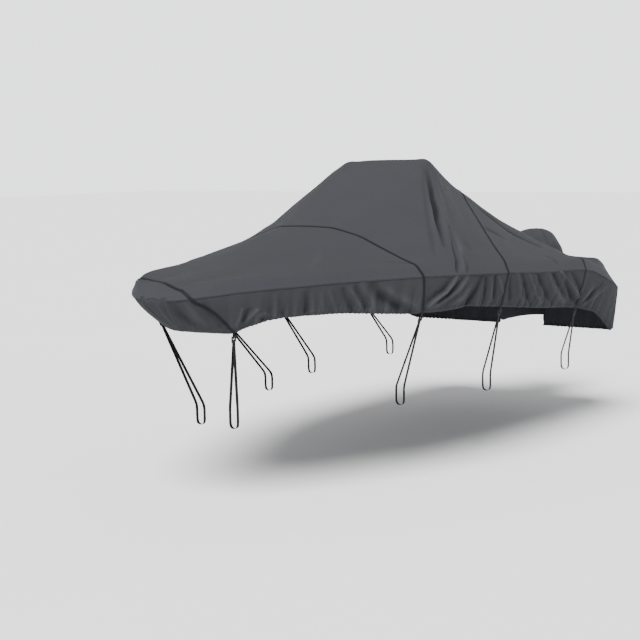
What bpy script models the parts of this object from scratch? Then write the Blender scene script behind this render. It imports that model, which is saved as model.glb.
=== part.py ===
"""Fitted storage cover, 5.6 m long, draped over a tall ridge amidships.

Frame: metres, +X aft, +Y starboard, +Z up.  The origin is 2 mm under the cloth at the
middle of the top ridge, where the cover is held up.  The tables give x from a datum
near the stern and z above the ground; place() moves them to the frame.
"""
import math
import bpy
import numpy as np
from mathutils import Vector
from mathutils.bvhtree import BVHTree

# ---------------------------------------------------------------- sizes
SHIFT_X = 1.600            # datum to origin, along
SHIFT_Z = -2.318           # ground to origin, up
CLOTH = 0.002              # coated cloth, thickness of every panel
GAP = 0.0004               # clearance between neighbouring pieces
CORNER_EASE = 0.0033       # extra clearance where the seam turns a corner
LIP_WIDE = 0.065           # rounded edge just inside the rail, across
LIP_TALL = 0.075           # and its height above the rail line
DOME = 0.012               # rise of the middle of a section above its shoulder
TUCK_IN = 0.014            # hem drawn in by its elastic cord
GATHER = 0.010             # depth of the gathers in the skirt
COLUMN = 0.075             # widest step between skirt columns
HOOD_HALF = 0.225          # half width of the hood at its foot
WEB_WIDE = 0.026           # webbing width
WEB_THICK = 0.0020         # webbing thickness
WEB_LIFT = 0.0009          # webbing above the cloth
REACHES = (-0.51, -0.38, -0.25, -0.12, 0.0, 0.12, 0.25, 0.38, 0.51)   # tries across it
BUCKLE_WIDE = 0.036        # sliding buckle: across, tall, thick
BUCKLE_TALL = 0.052
BUCKLE_THICK = 0.012
BUCKLE_DROP = 0.056        # middle of the buckle below the hem
SLOT_WIDE = 0.0266         # slot through the buckle
SLOT_THICK = 0.0072
LOOP_HALF = 0.034          # half width of a loop at its foot
LOOP_TOP = 0.665           # loop foot: top and bottom above the ground
LOOP_FOOT = 0.528

# A row for each section of the top, bow to stern.
# centre, rail, hem: x of the row on the middle line, at the rail and at the hem
# crown: half width of the flat middle; top: height of the middle above the ground
# fold: height of the soft crease that follows this row down the side
SECTIONS = (
    # centre   rail    hem   crown  top    fold
    (-4.320, -4.310, -4.07, 0.05, 1.472, 0.000),
    (-4.294, -4.284, -4.06, 0.09, 1.510, 0.000),
    (-4.230, -4.220, -4.04, 0.12, 1.546, 0.000),
    (-4.130, -4.120, -4.00, 0.15, 1.567, 0.000),
    (-4.020, -4.010, -3.95, 0.17, 1.579, 0.000),
    (-3.900, -3.900, -3.86, 0.19, 1.586, 0.000),
    (-3.770, -3.770, -3.74, 0.20, 1.597, 0.000),
    (-3.620, -3.620, -3.60, 0.21, 1.618, 0.000),
    (-3.460, -3.460, -3.45, 0.23, 1.654, 0.000),
    (-3.280, -3.280, -3.27, 0.24, 1.699, 0.000),
    (-3.100, -3.100, -3.10, 0.25, 1.746, 0.000),
    (-2.950, -2.950, -2.95, 0.26, 1.786, 0.000),
    (-2.820, -2.820, -2.82, 0.26, 1.818, 0.000),
    (-2.700, -2.700, -2.72, 0.26, 1.846, 0.000),
    (-2.580, -2.620, -2.63, 0.26, 1.874, 0.004),
    (-2.420, -2.560, -2.56, 0.28, 1.938, 0.006),
    (-2.200, -2.500, -2.50, 0.32, 2.042, 0.004),
    (-1.980, -2.450, -2.45, 0.37, 2.152, 0.000),
    (-1.800, -2.410, -2.41, 0.39, 2.240, 0.006),
    (-1.680, -2.370, -2.37, 0.40, 2.298, -0.006),
    (-1.630, -2.330, -2.33, 0.405, 2.318, 0.006),
    (-1.600, -2.280, -2.28, 0.405, 2.322, -0.012),
    (-1.565, -2.220, -2.22, 0.395, 2.319, 0.010),
    (-1.490, -2.130, -2.13, 0.390, 2.290, 0.006),
    (-1.370, -2.020, -2.02, 0.390, 2.218, -0.004),
    (-1.230, -1.900, -1.90, 0.400, 2.132, 0.004),
    (-1.030, -1.740, -1.78, 0.43, 2.032, 0.000),
    (-0.860, -1.580, -1.62, 0.460, 1.940, 0.004),
    (-0.700, -1.400, -1.44, 0.52, 1.844, -0.004),
    (-0.560, -1.220, -1.25, 0.62, 1.744, 0.000),
    (-0.440, -1.020, -1.05, 0.73, 1.650, 0.000),
    (-0.340, -0.820, -0.86, 0.84, 1.575, 0.000),
    (-0.240, -0.620, -0.66, 0.93, 1.520, 0.000),
    (-0.120, -0.450, -0.52, 0.97, 1.494, 0.000),
    (-0.020, -0.280, -0.36, 0.985, 1.479, 0.000),
    (0.070, -0.120, -0.20, 0.985, 1.468, 0.000),
    (0.160, 0.040, -0.05, 0.97, 1.460, 0.000),
    (0.250, 0.180, 0.10, 0.955, 1.447, 0.000),
    (0.350, 0.320, 0.26, 0.935, 1.418, 0.000),
    (0.450, 0.440, 0.40, 0.915, 1.372, 0.000),
    (0.540, 0.540, 0.51, 0.87, 1.280, 0.000),
    (0.610, 0.610, 0.59, 0.83, 1.200, 0.000),
    (0.650, 0.650, 0.63, 0.82, 1.160, 0.000),
    (0.660, 0.660, 0.64, 0.82, 1.145, 0.000),
)
RIDGE_ROW = 21             # the row along the ridge, where the two top panels meet
HOOD_ROW = 39              # the row where the opening for the hood begins

# x, half beam of the outline at the rail
OUTLINE = (
    (-4.320, 0.030), (-4.310, 0.110), (-4.284, 0.180), (-4.220, 0.270),
    (-4.120, 0.358), (-4.010, 0.435), (-3.850, 0.555), (-3.650, 0.665),
    (-3.400, 0.775), (-3.200, 0.860), (-3.000, 0.940), (-2.700, 1.040),
    (-2.400, 1.110), (-2.000, 1.165), (-1.600, 1.180), (-0.500, 1.180),
    (0.000, 1.160), (0.200, 1.132), (0.400, 1.075), (0.540, 1.000),
    (0.620, 0.925), (0.650, 0.870), (0.660, 0.835),
)
# x, height of the rail line
RAIL = (
    (-4.320, 1.462), (-4.220, 1.480), (-4.000, 1.503), (-3.800, 1.517),
    (-3.400, 1.527), (-3.200, 1.528), (-2.700, 1.524), (-2.330, 1.510),
    (-1.740, 1.480), (-1.170, 1.440), (-0.490, 1.410), (-0.270, 1.375),
    (-0.050, 1.310), (0.200, 1.235), (0.450, 1.170), (0.660, 1.130),
)
# x, height of the hem
HEM = (
    (-4.070, 1.243), (-4.000, 1.232), (-3.940, 1.222), (-3.880, 1.252),
    (-3.820, 1.290),
    (-3.650, 1.310), (-3.310, 1.310), (-2.760, 1.260), (-2.440, 1.250),
    (-2.140, 1.260), (-1.840, 1.230), (-1.060, 1.140), (-0.600, 1.100),
    (-0.300, 1.060), (-0.050, 1.000), (0.150, 0.900), (0.380, 0.800),
    (0.660, 0.765),
)
# x, how far the hem stands in from the rail
INSET = (
    (-4.320, 0.080), (-4.284, 0.095), (-4.220, 0.100), (-4.000, 0.085),
    (-3.700, 0.060), (-3.300, 0.055), (-2.600, 0.055),
    (-1.600, 0.075), (-0.800, 0.080), (-0.200, 0.095), (0.400, 0.050),
    (0.660, 0.020),
)
# fractions across the flat crown, then from the shoulder out to the lip
CROWN_STEPS = (0.0, 0.33, 0.66, 0.92)
SIDE_STEPS = (0.06, 0.20, 0.36, 0.52, 0.68, 0.84, 1.0)
SKIRT_STEPS = (0.0, 0.12, 0.40, 0.70, 0.93, 1.0)

# Hood outline, half of it: x, share of the half width, foot height, shoulder height
HOOD_OUTLINE = (
    (0.450, 0.00, 1.372, 1.410), (0.450, 0.60, 1.372, 1.410),
    (0.450, 1.00, 1.370, 1.405), (0.540, 1.00, 1.288, 1.430),
    (0.610, 1.00, 1.210, 1.450), (0.650, 1.00, 1.158, 1.465),
    (0.656, 1.00, 1.150, 1.467), (0.659, 1.00, 0.790, 1.468),
    (0.780, 1.00, 0.790, 1.500), (0.890, 1.00, 0.790, 1.515),
    (0.975, 0.99, 0.790, 1.510), (1.055, 0.94, 0.790, 1.492),
    (1.120, 0.85, 0.790, 1.465), (1.170, 0.68, 0.790, 1.440),
    (1.200, 0.46, 0.790, 1.422), (1.213, 0.22, 0.790, 1.412),
    (1.216, 0.00, 0.790, 1.410),
)
# Hood rings from the foot up: share of the shoulder height, inward scale
HOOD_RINGS = (
    (0.00, 1.000), (0.30, 1.000), (0.65, 0.998), (0.88, 0.985), (1.00, 0.950),
)
HOOD_CAP = ((0.50, 0.79), (0.86, 0.57), (0.97, 0.28))   # rise share, scale
HOOD_PEAK = (0.900, 1.648)                                # x and height of the top

# Straps: name, spacing of the points along it, loop foot x and y,
# then the way over the cloth from port hem to starboard hem as x, y, height
STRAPS = (
    ("bow", 0.012, (-3.710, 0.150), (
        (-3.948, -0.370, 1.230), (-4.000, -0.345, 1.290), (-4.080, -0.325, 1.370),
        (-4.130, -0.285, 1.420), (-4.185, -0.250, 1.460), (-4.222, -0.205, 1.485),
        (-4.228, -0.140, 1.520), (-4.212, -0.060, 1.540), (-4.165, 0.050, 1.555),
        (-4.100, 0.170, 1.565), (-4.080, 0.250, 1.555), (-4.080, 0.310, 1.540),
        (-4.055, 0.360, 1.522), (-4.010, 0.425, 1.497), (-3.965, 0.438, 1.400),
        (-3.930, 0.425, 1.300), (-3.915, 0.415, 1.250))),
    ("fore", 0.022, (-2.370, 0.620), (
        (-2.645, -0.995, 1.257), (-2.680, -1.030, 1.430), (-2.695, -1.038, 1.520),
        (-2.695, -0.980, 1.597), (-2.680, -0.830, 1.655), (-2.660, -0.650, 1.725),
        (-2.650, -0.480, 1.780), (-2.665, -0.310, 1.832), (-2.680, 0.000, 1.852),
        (-2.670, 0.180, 1.850), (-2.620, 0.360, 1.830), (-2.600, 0.600, 1.750),
        (-2.640, 0.850, 1.650), (-2.685, 0.990, 1.590), (-2.700, 1.040, 1.522),
        (-2.685, 1.035, 1.450), (-2.645, 0.995, 1.257))),
    ("mid", 0.022, (-1.500, 0.850), (
        (-1.725, -1.105, 1.222), (-1.735, -1.160, 1.400), (-1.735, -1.175, 1.480),
        (-1.690, -1.130, 1.540), (-1.610, -1.010, 1.620), (-1.500, -0.850, 1.730),
        (-1.430, -0.750, 1.800), (-1.350, -0.640, 1.880), (-1.250, -0.510, 1.990),
        (-1.160, -0.420, 2.060), (-1.080, -0.300, 2.045), (-1.050, 0.000, 2.034),
        (-1.060, 0.300, 2.040), (-1.130, 0.450, 2.010), (-1.385, 0.760, 1.786),
        (-1.680, 1.110, 1.555), (-1.740, 1.175, 1.480), (-1.735, 1.160, 1.400),
        (-1.725, 1.105, 1.222))),
    ("stern", 0.022, (-0.250, 0.890), (
        (-0.450, -1.090, 1.082), (-0.450, -1.160, 1.300), (-0.450, -1.180, 1.405),
        (-0.400, -1.115, 1.470), (-0.150, -0.980, 1.500), (-0.060, -0.800, 1.492),
        (-0.060, 0.000, 1.492), (-0.060, 0.800, 1.492), (-0.150, 0.980, 1.500),
        (-0.400, 1.115, 1.470), (-0.450, 1.180, 1.405), (-0.450, 1.160, 1.300),
        (-0.450, 1.090, 1.082))),
)

CLOTH_COLOUR = (0.086, 0.087, 0.095, 1.0)
WEB_COLOUR = (0.013, 0.014, 0.018, 1.0)
BUCKLE_COLOUR = (0.010, 0.010, 0.011, 1.0)


# ---------------------------------------------------------------- helpers
def look_up(table, x):
    """Straight-line value of a two-column table at x."""
    columns = np.array(table)
    return float(np.interp(x, columns[:, 0], columns[:, 1]))


def place(points):
    """Moves table points to the frame."""
    return np.asarray(points, float) + (SHIFT_X, 0.0, SHIFT_Z)


def material(name, colour, rough):
    """A Principled material of one colour."""
    made = bpy.data.materials.new(name)
    made.use_nodes = True
    shader = made.node_tree.nodes["Principled BSDF"]
    shader.inputs["Base Color"].default_value = colour
    shader.inputs["Roughness"].default_value = rough
    return made


def add_object(name, points, faces, look):
    """Adds one closed solid to the cover's collection."""
    mesh = bpy.data.meshes.new(name)
    mesh.from_pydata([tuple(p) for p in points], [], faces)
    mesh.validate()
    mesh.materials.append(look)
    made = bpy.data.objects.new(name, mesh)
    COVER.objects.link(made)
    return made


def grid_normals(grid):
    """Unit normals of a grid of points, from its two directions."""
    along = np.gradient(grid, axis=0)
    across = np.gradient(grid, axis=1)
    normals = np.cross(along, across)
    length = np.linalg.norm(normals, axis=2, keepdims=True)
    return normals / np.maximum(length, 1e-9)


def slab(name, outer, inner, cells, look):
    """A sheet between two grids, over the chosen cells, closed round its edges."""
    rows, columns = outer.shape[:2]
    points = np.concatenate((outer.reshape(-1, 3), inner.reshape(-1, 3)))
    half = rows * columns
    faces = []
    edges = {}
    i, j = cells[len(cells) // 2]
    facing = np.cross(outer[i, j + 1] - outer[i, j], outer[i + 1, j] - outer[i, j])
    turned = np.dot(facing, outer[i, j] - inner[i, j]) < 0
    for i, j in cells:
        a = i * columns + j
        b, c, d = a + 1, a + columns + 1, a + columns
        if turned:
            b, d = d, b
        for face in ((a, b, c), (a, c, d)):
            faces.append(face)
            faces.append(tuple(half + v for v in reversed(face)))
        for start, end in ((a, b), (b, c), (c, d), (d, a)):
            if (end, start) in edges:
                del edges[(end, start)]
            else:
                edges[(start, end)] = True
    for start, end in edges:
        faces.append((end, start, half + start))
        faces.append((end, half + start, half + end))
    used = sorted({v for face in faces for v in face})
    number = {v: k for k, v in enumerate(used)}
    return add_object(name, points[used], [[number[v] for v in f] for f in faces], look)


# ---------------------------------------------------------------- top
def half_section(row):
    """Points of one row from the middle line out to the rail, in table space."""
    centre, rail, _, crown, top, fold = row
    beam = look_up(OUTLINE, rail)
    rail_z = look_up(RAIL, rail)
    crown = min(crown, 0.75 * beam) if rail < 0 else min(crown, beam - 0.02)
    fade = 1.0 if rail < 0.3 else max(0.15, 1.0 - (rail - 0.3) / 0.4)
    lip_wide = min(LIP_WIDE, 0.2 * beam, 0.8 * (beam - crown))
    lip_tall = LIP_TALL * min(1.0, beam / 0.45) * fade
    points = []
    for step in CROWN_STEPS:
        y = crown * step
        if step == CROWN_STEPS[1]:
            y = min(y, HOOD_HALF)
        points.append((centre, y, top - DOME * (y / crown) ** 2))
    end_y = beam - lip_wide
    end_z = rail_z + lip_tall
    for step in SIDE_STEPS:
        y = crown + (end_y - crown) * step
        z = top - DOME + (end_z - top + DOME) * step
        bump = fold * math.sin(math.pi * min(1.0, step * 1.05)) ** 0.6 if step < 0.95 else 0.0
        x = centre + (rail - centre) * (y - crown) / (beam - crown)
        points.append((x, y + 0.6 * bump, z + 0.8 * bump))
    points.append((rail, beam, rail_z))
    return points


def top_grid():
    """The whole top as a grid: rows bow to stern, columns port to starboard."""
    grid = []
    for row in SECTIONS:
        half = half_section(row)
        port = [(x, -y, z) for x, y, z in reversed(half[1:])]
        grid.append(port + half)
    return place(grid)


def make_top():
    """Bow panel and stern panel, meeting along the ridge."""
    grid = top_grid()
    normals = grid_normals(grid)
    normals *= np.sign(normals[:, :, 2:3])
    middle = grid.shape[1] // 2
    rows = len(SECTIONS)
    panels = (("bow_panel", 0, RIDGE_ROW), ("stern_panel", RIDGE_ROW, rows - 1))
    for name, first, last in panels:
        outer = grid[first:last + 1].copy()
        if name == "bow_panel":
            outer[-1] += toward(outer[-1], outer[-2], GAP / 2)
        else:
            outer[0] += toward(outer[0], outer[1], GAP / 2)
        if name == "stern_panel":
            begin = HOOD_ROW - first
            outer[begin, middle - 1:middle + 2, 0] -= GAP
            outer[begin + 1:, middle - 1, 1] -= GAP
            outer[begin + 1:, middle + 1, 1] += GAP
            outer[begin, middle - 1, 1] -= GAP
            outer[begin, middle + 1, 1] += GAP
        inner = outer - CLOTH * normals[first:last + 1]
        cells = [(i, j) for i in range(last - first) for j in range(grid.shape[1] - 1)]
        if name == "stern_panel":
            cells = [c for c in cells if not (c[0] >= begin and c[1] in (middle - 1, middle))]
        slab(name, outer, inner, cells, CLOTH_LOOK)
    return grid, normals


def toward(start, end, distance):
    """Small steps from each start point toward its end point."""
    way = end - start
    return way / np.linalg.norm(way, axis=-1, keepdims=True) * distance


# ---------------------------------------------------------------- skirt
def skirt_base(grid, normals):
    """Edge and hem points of the port skirt, from the middle of the bow to the stern."""
    middle = grid.shape[1] // 2
    path = [(0, j) for j in range(middle, 0, -1)]
    path += [(i, 0) for i in range(len(SECTIONS))]
    path += [(len(SECTIONS) - 1, j) for j in range(1, middle)]
    edge, drop, hem = [], [], []
    for i, j in path:
        row = SECTIONS[i]
        edge.append(grid[i, j])
        ends = i <= 1 or i >= len(SECTIONS) - 3
        corner = CORNER_EASE if ends and j <= 8 else 0.0
        drop.append(CLOTH * (1.0 if ends else max(normals[i, j, 2], 0.3)) + GAP + corner)
        hem_x = row[2]
        beam = look_up(OUTLINE, row[1])
        share = abs(grid[i, j, 1]) / beam
        hem_y = -max(0.0, beam - look_up(INSET, row[1])) * share
        hem.append(place((hem_x, hem_y, look_up(HEM, hem_x))))
    return np.array(edge), np.array(drop), np.array(hem)


def subdivide(values, counts):
    """Straight-line steps between neighbouring rows of values."""
    out = []
    for k, count in enumerate(counts):
        for step in range(count):
            share = step / count
            out.append(values[k] * (1 - share) + values[k + 1] * share)
    out.append(values[-1])
    return np.array(out)


def skirt_grid(grid, normals):
    """Port skirt as a grid: rows along the rail, columns from the edge to the hem."""
    edge, drop, hem = skirt_base(grid, normals)
    length = np.linalg.norm(np.diff(edge, axis=0), axis=1)
    counts = [max(1, math.ceil(value / COLUMN)) for value in length]
    edge = subdivide(edge, counts)
    drop = subdivide(drop, counts)
    hem = subdivide(hem, counts)
    start = edge - drop[:, None] * (0.0, 0.0, 1.0)
    travel = np.concatenate(([0.0], np.cumsum(np.linalg.norm(np.diff(edge, axis=0), axis=1))))
    side = np.gradient(edge, axis=0)
    out = np.stack((-side[:, 1], side[:, 0], 0.0 * side[:, 0]), axis=1)
    out /= np.linalg.norm(out, axis=1, keepdims=True)
    out *= -1.0
    wave = 0.6 * np.sin(travel * 31.0 + 1.7 * np.sin(travel * 2.3))
    wave += 0.4 * np.sin(travel * 47.0 + 0.8)
    ends = np.minimum(1.0, np.minimum(travel, travel[-1] - travel) / 0.15)
    rows = []
    for step in SKIRT_STEPS:
        line = start * (1 - step) + hem * step
        swell = GATHER * math.sin(math.pi * min(1.0, 0.15 + 0.80 * step)) * (step > 0)
        line = line + out * (wave * ends * swell)[:, None]
        rows.append(line)
    rows[-1] = rows[-1] - out * TUCK_IN
    return np.stack(rows, axis=1), travel


def make_skirts(grid, normals):
    """Port and starboard skirts, each one strip from the bow to the hood."""
    port, _ = skirt_grid(grid, normals)
    outward = grid_normals(port)
    if outward[len(port) // 2, 2, 1] > 0:
        outward = -outward
    port[0, :, 1] = -GAP / 2
    outward[0, :, 1] = 0.0
    outward /= np.linalg.norm(outward, axis=2, keepdims=True)
    port[-1, :, 1] = -HOOD_HALF - GAP
    outward[:, 0, 2] = 0.0
    outward /= np.linalg.norm(outward, axis=2, keepdims=True)
    inner = port - CLOTH * outward
    inner[-1, :, 1] = port[-1, :, 1]
    flip = np.array((1.0, -1.0, 1.0))
    cells = [(i, j) for i in range(port.shape[0] - 1) for j in range(port.shape[1] - 1)]
    slab("skirt_port", port, inner, cells, CLOTH_LOOK)
    mirror = port[::-1] * flip
    slab("skirt_starboard", mirror, inner[::-1] * flip, cells, CLOTH_LOOK)
    return port, mirror


# ---------------------------------------------------------------- hood
def make_hood():
    """Domed hood at the stern: rings from its foot to its peak."""
    port = [(x, -share * HOOD_HALF, foot, shoulder)
            for x, share, foot, shoulder in HOOD_OUTLINE]
    back = [(x, -y, foot, shoulder) for x, y, foot, shoulder in reversed(port[1:-1])]
    outline = np.array(port + back)
    peak = np.array((HOOD_PEAK[0], 0.0))
    rings = []
    for share, scale in HOOD_RINGS:
        plan = peak + (outline[:, :2] - peak) * scale if share else outline[:, :2]
        height = outline[:, 2] - (CLOTH if not share else 0.0)
        height = height * (1 - share) + outline[:, 3] * share
        rings.append(np.column_stack((plan, height)))
    for rise, scale in HOOD_CAP:
        plan = peak + (outline[:, :2] - peak) * scale
        height = outline[:, 3] * (1 - rise) + HOOD_PEAK[1] * rise
        rings.append(np.column_stack((plan, height)))
    rings = place(np.array(rings))
    count = rings.shape[1]
    centre = place((HOOD_PEAK[0], 0.0, HOOD_PEAK[1]))
    padded = np.concatenate((rings[:, -1:], rings, rings[:, :2]), axis=1)
    normals = grid_normals(padded)[:, 1:-2]
    away = rings - centre
    normals *= np.sign(np.sum(normals * away, axis=2, keepdims=True))
    inner = rings - CLOTH * normals
    inner[0, :, 2] = rings[0, :, 2]
    points = np.concatenate((rings.reshape(-1, 3), [centre],
                             inner.reshape(-1, 3), [centre - (0.0, 0.0, CLOTH)]))
    half = rings.shape[0] * count + 1
    faces = []
    for k in range(rings.shape[0] - 1):
        for j in range(count):
            a, b = k * count + j, k * count + (j + 1) % count
            c, d = b + count, a + count
            for face in ((a, b, c), (a, c, d)):
                faces.append(face)
                faces.append(tuple(half + v for v in reversed(face)))
    last = (rings.shape[0] - 1) * count
    for j in range(count):
        a, b = last + j, last + (j + 1) % count
        faces.append((a, b, half - 1))
        faces.append((half + half - 1, half + b, half + a))
        a, b = j, (j + 1) % count
        faces.append((b, a, half + a))
        faces.append((b, half + a, half + b))
    return add_object("motor_hood", points, faces, CLOTH_LOOK)


# ---------------------------------------------------------------- straps
def surface_tree(sheets):
    """A tree of the outer faces of the cloth, to lay the straps on."""
    points, faces = [], []
    for sheet in sheets:
        rows, columns = sheet.shape[:2]
        base = len(points)
        points += [tuple(p) for p in sheet.reshape(-1, 3)]
        for i in range(rows - 1):
            for j in range(columns - 1):
                a = base + i * columns + j
                faces.append((a, a + 1, a + columns + 1))
                faces.append((a, a + columns + 1, a + columns))
    return BVHTree.FromPolygons(points, faces)


def unit(vector):
    """The vector at length one."""
    return vector / max(np.linalg.norm(vector), 1e-9)


def resample(points, step):
    """Evenly spaced points along a line of points."""
    points = np.asarray(points, float)
    travel = np.concatenate(([0.0], np.cumsum(np.linalg.norm(np.diff(points, axis=0), axis=1))))
    count = max(2, int(round(travel[-1] / step)) + 1)
    wanted = np.linspace(0.0, travel[-1], count)
    return np.column_stack([np.interp(wanted, travel, points[:, k]) for k in range(3)])


def smooth(points, times):
    """Evens out a line of points, ends kept."""
    points = points.copy()
    for _ in range(times):
        points[1:-1] = 0.5 * points[1:-1] + 0.25 * (points[:-2] + points[2:])
    return points


def lay_on(tree, way, step):
    """Centre line and normals of a strap pulled taut over the cloth."""
    line = smooth(resample(place(way), step), 2)
    found = [tree.find_nearest(Vector(p)) for p in line]
    line = np.array([tuple(hit[0]) for hit in found])
    normals = np.array([tuple(hit[1]) for hit in found])
    zero = 0.0 * line[:, 1]
    inside = np.column_stack((np.clip(line[:, 0], -2.0, 1.8), zero, zero - 1.2))
    away = line - inside
    normals *= np.sign(np.sum(normals * away, axis=1, keepdims=True))
    normals = smooth(normals, 6)
    normals /= np.linalg.norm(normals, axis=1, keepdims=True)
    line = smooth(line, 3)
    for _ in range(6):
        rise = np.zeros(len(line))
        across = np.cross(np.gradient(line, axis=0), normals)
        across /= np.linalg.norm(across, axis=1, keepdims=True)
        for k in range(len(line) - 1):
            for share in np.linspace(0.0, 1.0, 17):
                spot = line[k] * (1 - share) + line[k + 1] * share
                up = unit(normals[k] * (1 - share) + normals[k + 1] * share)
                side = across[k] * (1 - share) + across[k + 1] * share
                for reach in REACHES:
                    origin = spot + side * reach * WEB_WIDE + up * 0.08
                    hit = tree.ray_cast(Vector(origin), Vector(-up), 0.16)
                    if hit[0] is None:
                        continue
                    short = 0.08 - hit[3]
                    rise[k] = max(rise[k], short)
                    rise[k + 1] = max(rise[k + 1], short)
        line = line + normals * rise[:, None]
        if rise.max() < 2e-5:
            break
    return line + normals * WEB_LIFT, normals


def ribbon(name, line, normals, look):
    """Flat webbing along a line: its underside on the line, its face outward."""
    travel = np.gradient(line, axis=0)
    across = np.cross(travel, normals)
    across /= np.linalg.norm(across, axis=1, keepdims=True)
    half = across * WEB_WIDE / 2
    rise = normals * WEB_THICK
    rings = np.stack((line - half, line + half, line + half + rise, line - half + rise), axis=1)
    points = rings.reshape(-1, 3)
    faces = [(0, 1, 2), (0, 2, 3)]
    for k in range(len(line) - 1):
        for j in range(4):
            a, b = 4 * k + j, 4 * k + (j + 1) % 4
            c, d = b + 4, a + 4
            faces.append((a, d, c))
            faces.append((a, c, b))
    end = 4 * (len(line) - 1)
    faces.append((end, end + 2, end + 1))
    faces.append((end, end + 3, end + 2))
    return add_object(name, points, faces, look)


def frame_at(hem, below):
    """Axes of the pull from a hem point down to a loop's foot: down, out, along."""
    down = unit(below - hem)
    along = unit(np.array((1.0, 0.0, 0.0)) - down * down[0])
    out = np.cross(down, along)
    if out[1] * hem[1] < 0:
        out = -out
    return down, out, along


def add_buckle(name, middle, down, out, along):
    """A sliding buckle: a rounded block with one slot through it from top to bottom."""
    def block(label, sizes, collection):
        mesh = bpy.data.meshes.new(label)
        corners = [(sx, sy, sz) for sx in (-0.5, 0.5) for sy in (-0.5, 0.5) for sz in (-0.5, 0.5)]
        points = [tuple(middle + along * sizes[0] * a + out * sizes[1] * b + down * sizes[2] * c)
                  for a, b, c in corners]
        faces = [(0, 1, 3, 2), (4, 6, 7, 5), (0, 4, 5, 1), (2, 3, 7, 6), (0, 2, 6, 4), (1, 5, 7, 3)]
        if np.dot(np.cross(along, out), down) < 0:
            faces = [tuple(reversed(face)) for face in faces]
        mesh.from_pydata(points, [], faces)
        made = bpy.data.objects.new(label, mesh)
        collection.objects.link(made)
        return made
    body = block(name, (BUCKLE_WIDE, BUCKLE_THICK, BUCKLE_TALL), COVER)
    body.data.materials.append(BUCKLE_LOOK)
    slot = block(name + "_slot", (SLOT_WIDE, SLOT_THICK, BUCKLE_TALL * 1.5), CUTTERS)
    slot.hide_render = True
    slot.display_type = "WIRE"
    edge = body.modifiers.new("edge", "BEVEL")
    edge.width = 0.002
    edge.segments = 1
    cut = body.modifiers.new("slot", "BOOLEAN")
    cut.operation = "DIFFERENCE"
    cut.solver = "EXACT"
    cut.object = slot
    return body


def make_straps(tree):
    """Over straps, buckles and the loops that hold them down."""
    for name, step, (foot_x, foot_y), way in STRAPS:
        line, normals = lay_on(tree, way, step)
        for side, index in (("port", 0), ("starboard", -1)):
            sign = -1.0 if side == "port" else 1.0
            hem = line[index]
            foot = place((foot_x, sign * foot_y, LOOP_TOP))
            down, out, along = frame_at(hem, foot)
            start = hem + down * (BUCKLE_DROP - 0.010) - out * WEB_THICK / 2
            middle = hem + down * BUCKLE_DROP
            tail = [hem + (start - hem) * share for share in (0.4, 1.0)]
            if side == "port":
                line = np.array(tail[::-1] + list(line))
                normals = np.array([out, out] + list(normals))
            else:
                line = np.array(list(line) + tail)
                normals = np.array(list(normals) + [out, out])
            add_buckle("buckle_" + name + "_" + side, middle, down, out, along)
            add_loop("loop_" + name + "_" + side, middle, down, out, sign, foot_x, foot_y)
        ribbon("strap_" + name, line, normals, WEB_LOOK)


def add_loop(name, middle, down, out, sign, foot_x, foot_y):
    """A loop of webbing: down the outside, across at the foot and back up."""
    lead = middle + down * 0.006
    top, low = LOOP_TOP, LOOP_FOOT
    near, far = sign * (foot_y + LOOP_HALF), sign * (foot_y - LOOP_HALF)
    bend = 0.012
    turn = [
        (foot_x, near, top), (foot_x, near, low + bend), (foot_x, near - sign * bend, low),
        (foot_x, far + sign * bend, low), (foot_x, far, low + bend), (foot_x, far, top),
    ]
    turn = list(place(turn))
    spread = out * 0.0017
    middle_out = lead + spread
    middle_in = lead - spread
    line = np.array([middle_out, middle_out + down * 0.03] + turn
                    + [middle_in + down * 0.03, middle_in])
    travel = np.gradient(line, axis=0)
    travel /= np.linalg.norm(travel, axis=1, keepdims=True)
    along = np.array((1.0, 0.0, 0.0)) - travel * travel[:, :1]
    along /= np.linalg.norm(along, axis=1, keepdims=True)
    normals = np.cross(travel, along)
    core = np.mean(line[2:8], axis=0)
    if np.dot(normals[3], line[3] - core) < 0:
        normals = -normals
    ribbon(name, line - normals * WEB_THICK / 2, normals, WEB_LOOK)


# ---------------------------------------------------------------- build
for old in list(bpy.data.objects):
    bpy.data.objects.remove(old, do_unlink=True)
COVER = bpy.data.collections.new("boat_cover")
CUTTERS = bpy.data.collections.new("cutters")
bpy.context.scene.collection.children.link(COVER)
bpy.context.scene.collection.children.link(CUTTERS)
CLOTH_LOOK = material("cover_cloth", CLOTH_COLOUR, 0.85)
WEB_LOOK = material("webbing", WEB_COLOUR, 0.8)
BUCKLE_LOOK = material("buckle_plastic", BUCKLE_COLOUR, 0.5)

TOP, TOP_NORMALS = make_top()
PORT, STARBOARD = make_skirts(TOP, TOP_NORMALS)
make_hood()
make_straps(surface_tree((TOP, PORT, STARBOARD)))
print("objects", len(COVER.objects))
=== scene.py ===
# %% [markdown]
# A fitted storage cover: charcoal coated cloth, drawn tight from a level ridge
# down to the rail, with a gathered skirt below, a small hood at the stern and four
# black straps that go over the top and end in tie-down loops.
#
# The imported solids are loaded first. They fix where everything is, and the cloth made
# here lies on them.

# %% Load the solids
import math

import bpy
import numpy as np
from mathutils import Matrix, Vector
from mathutils.bvhtree import BVHTree


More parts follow.
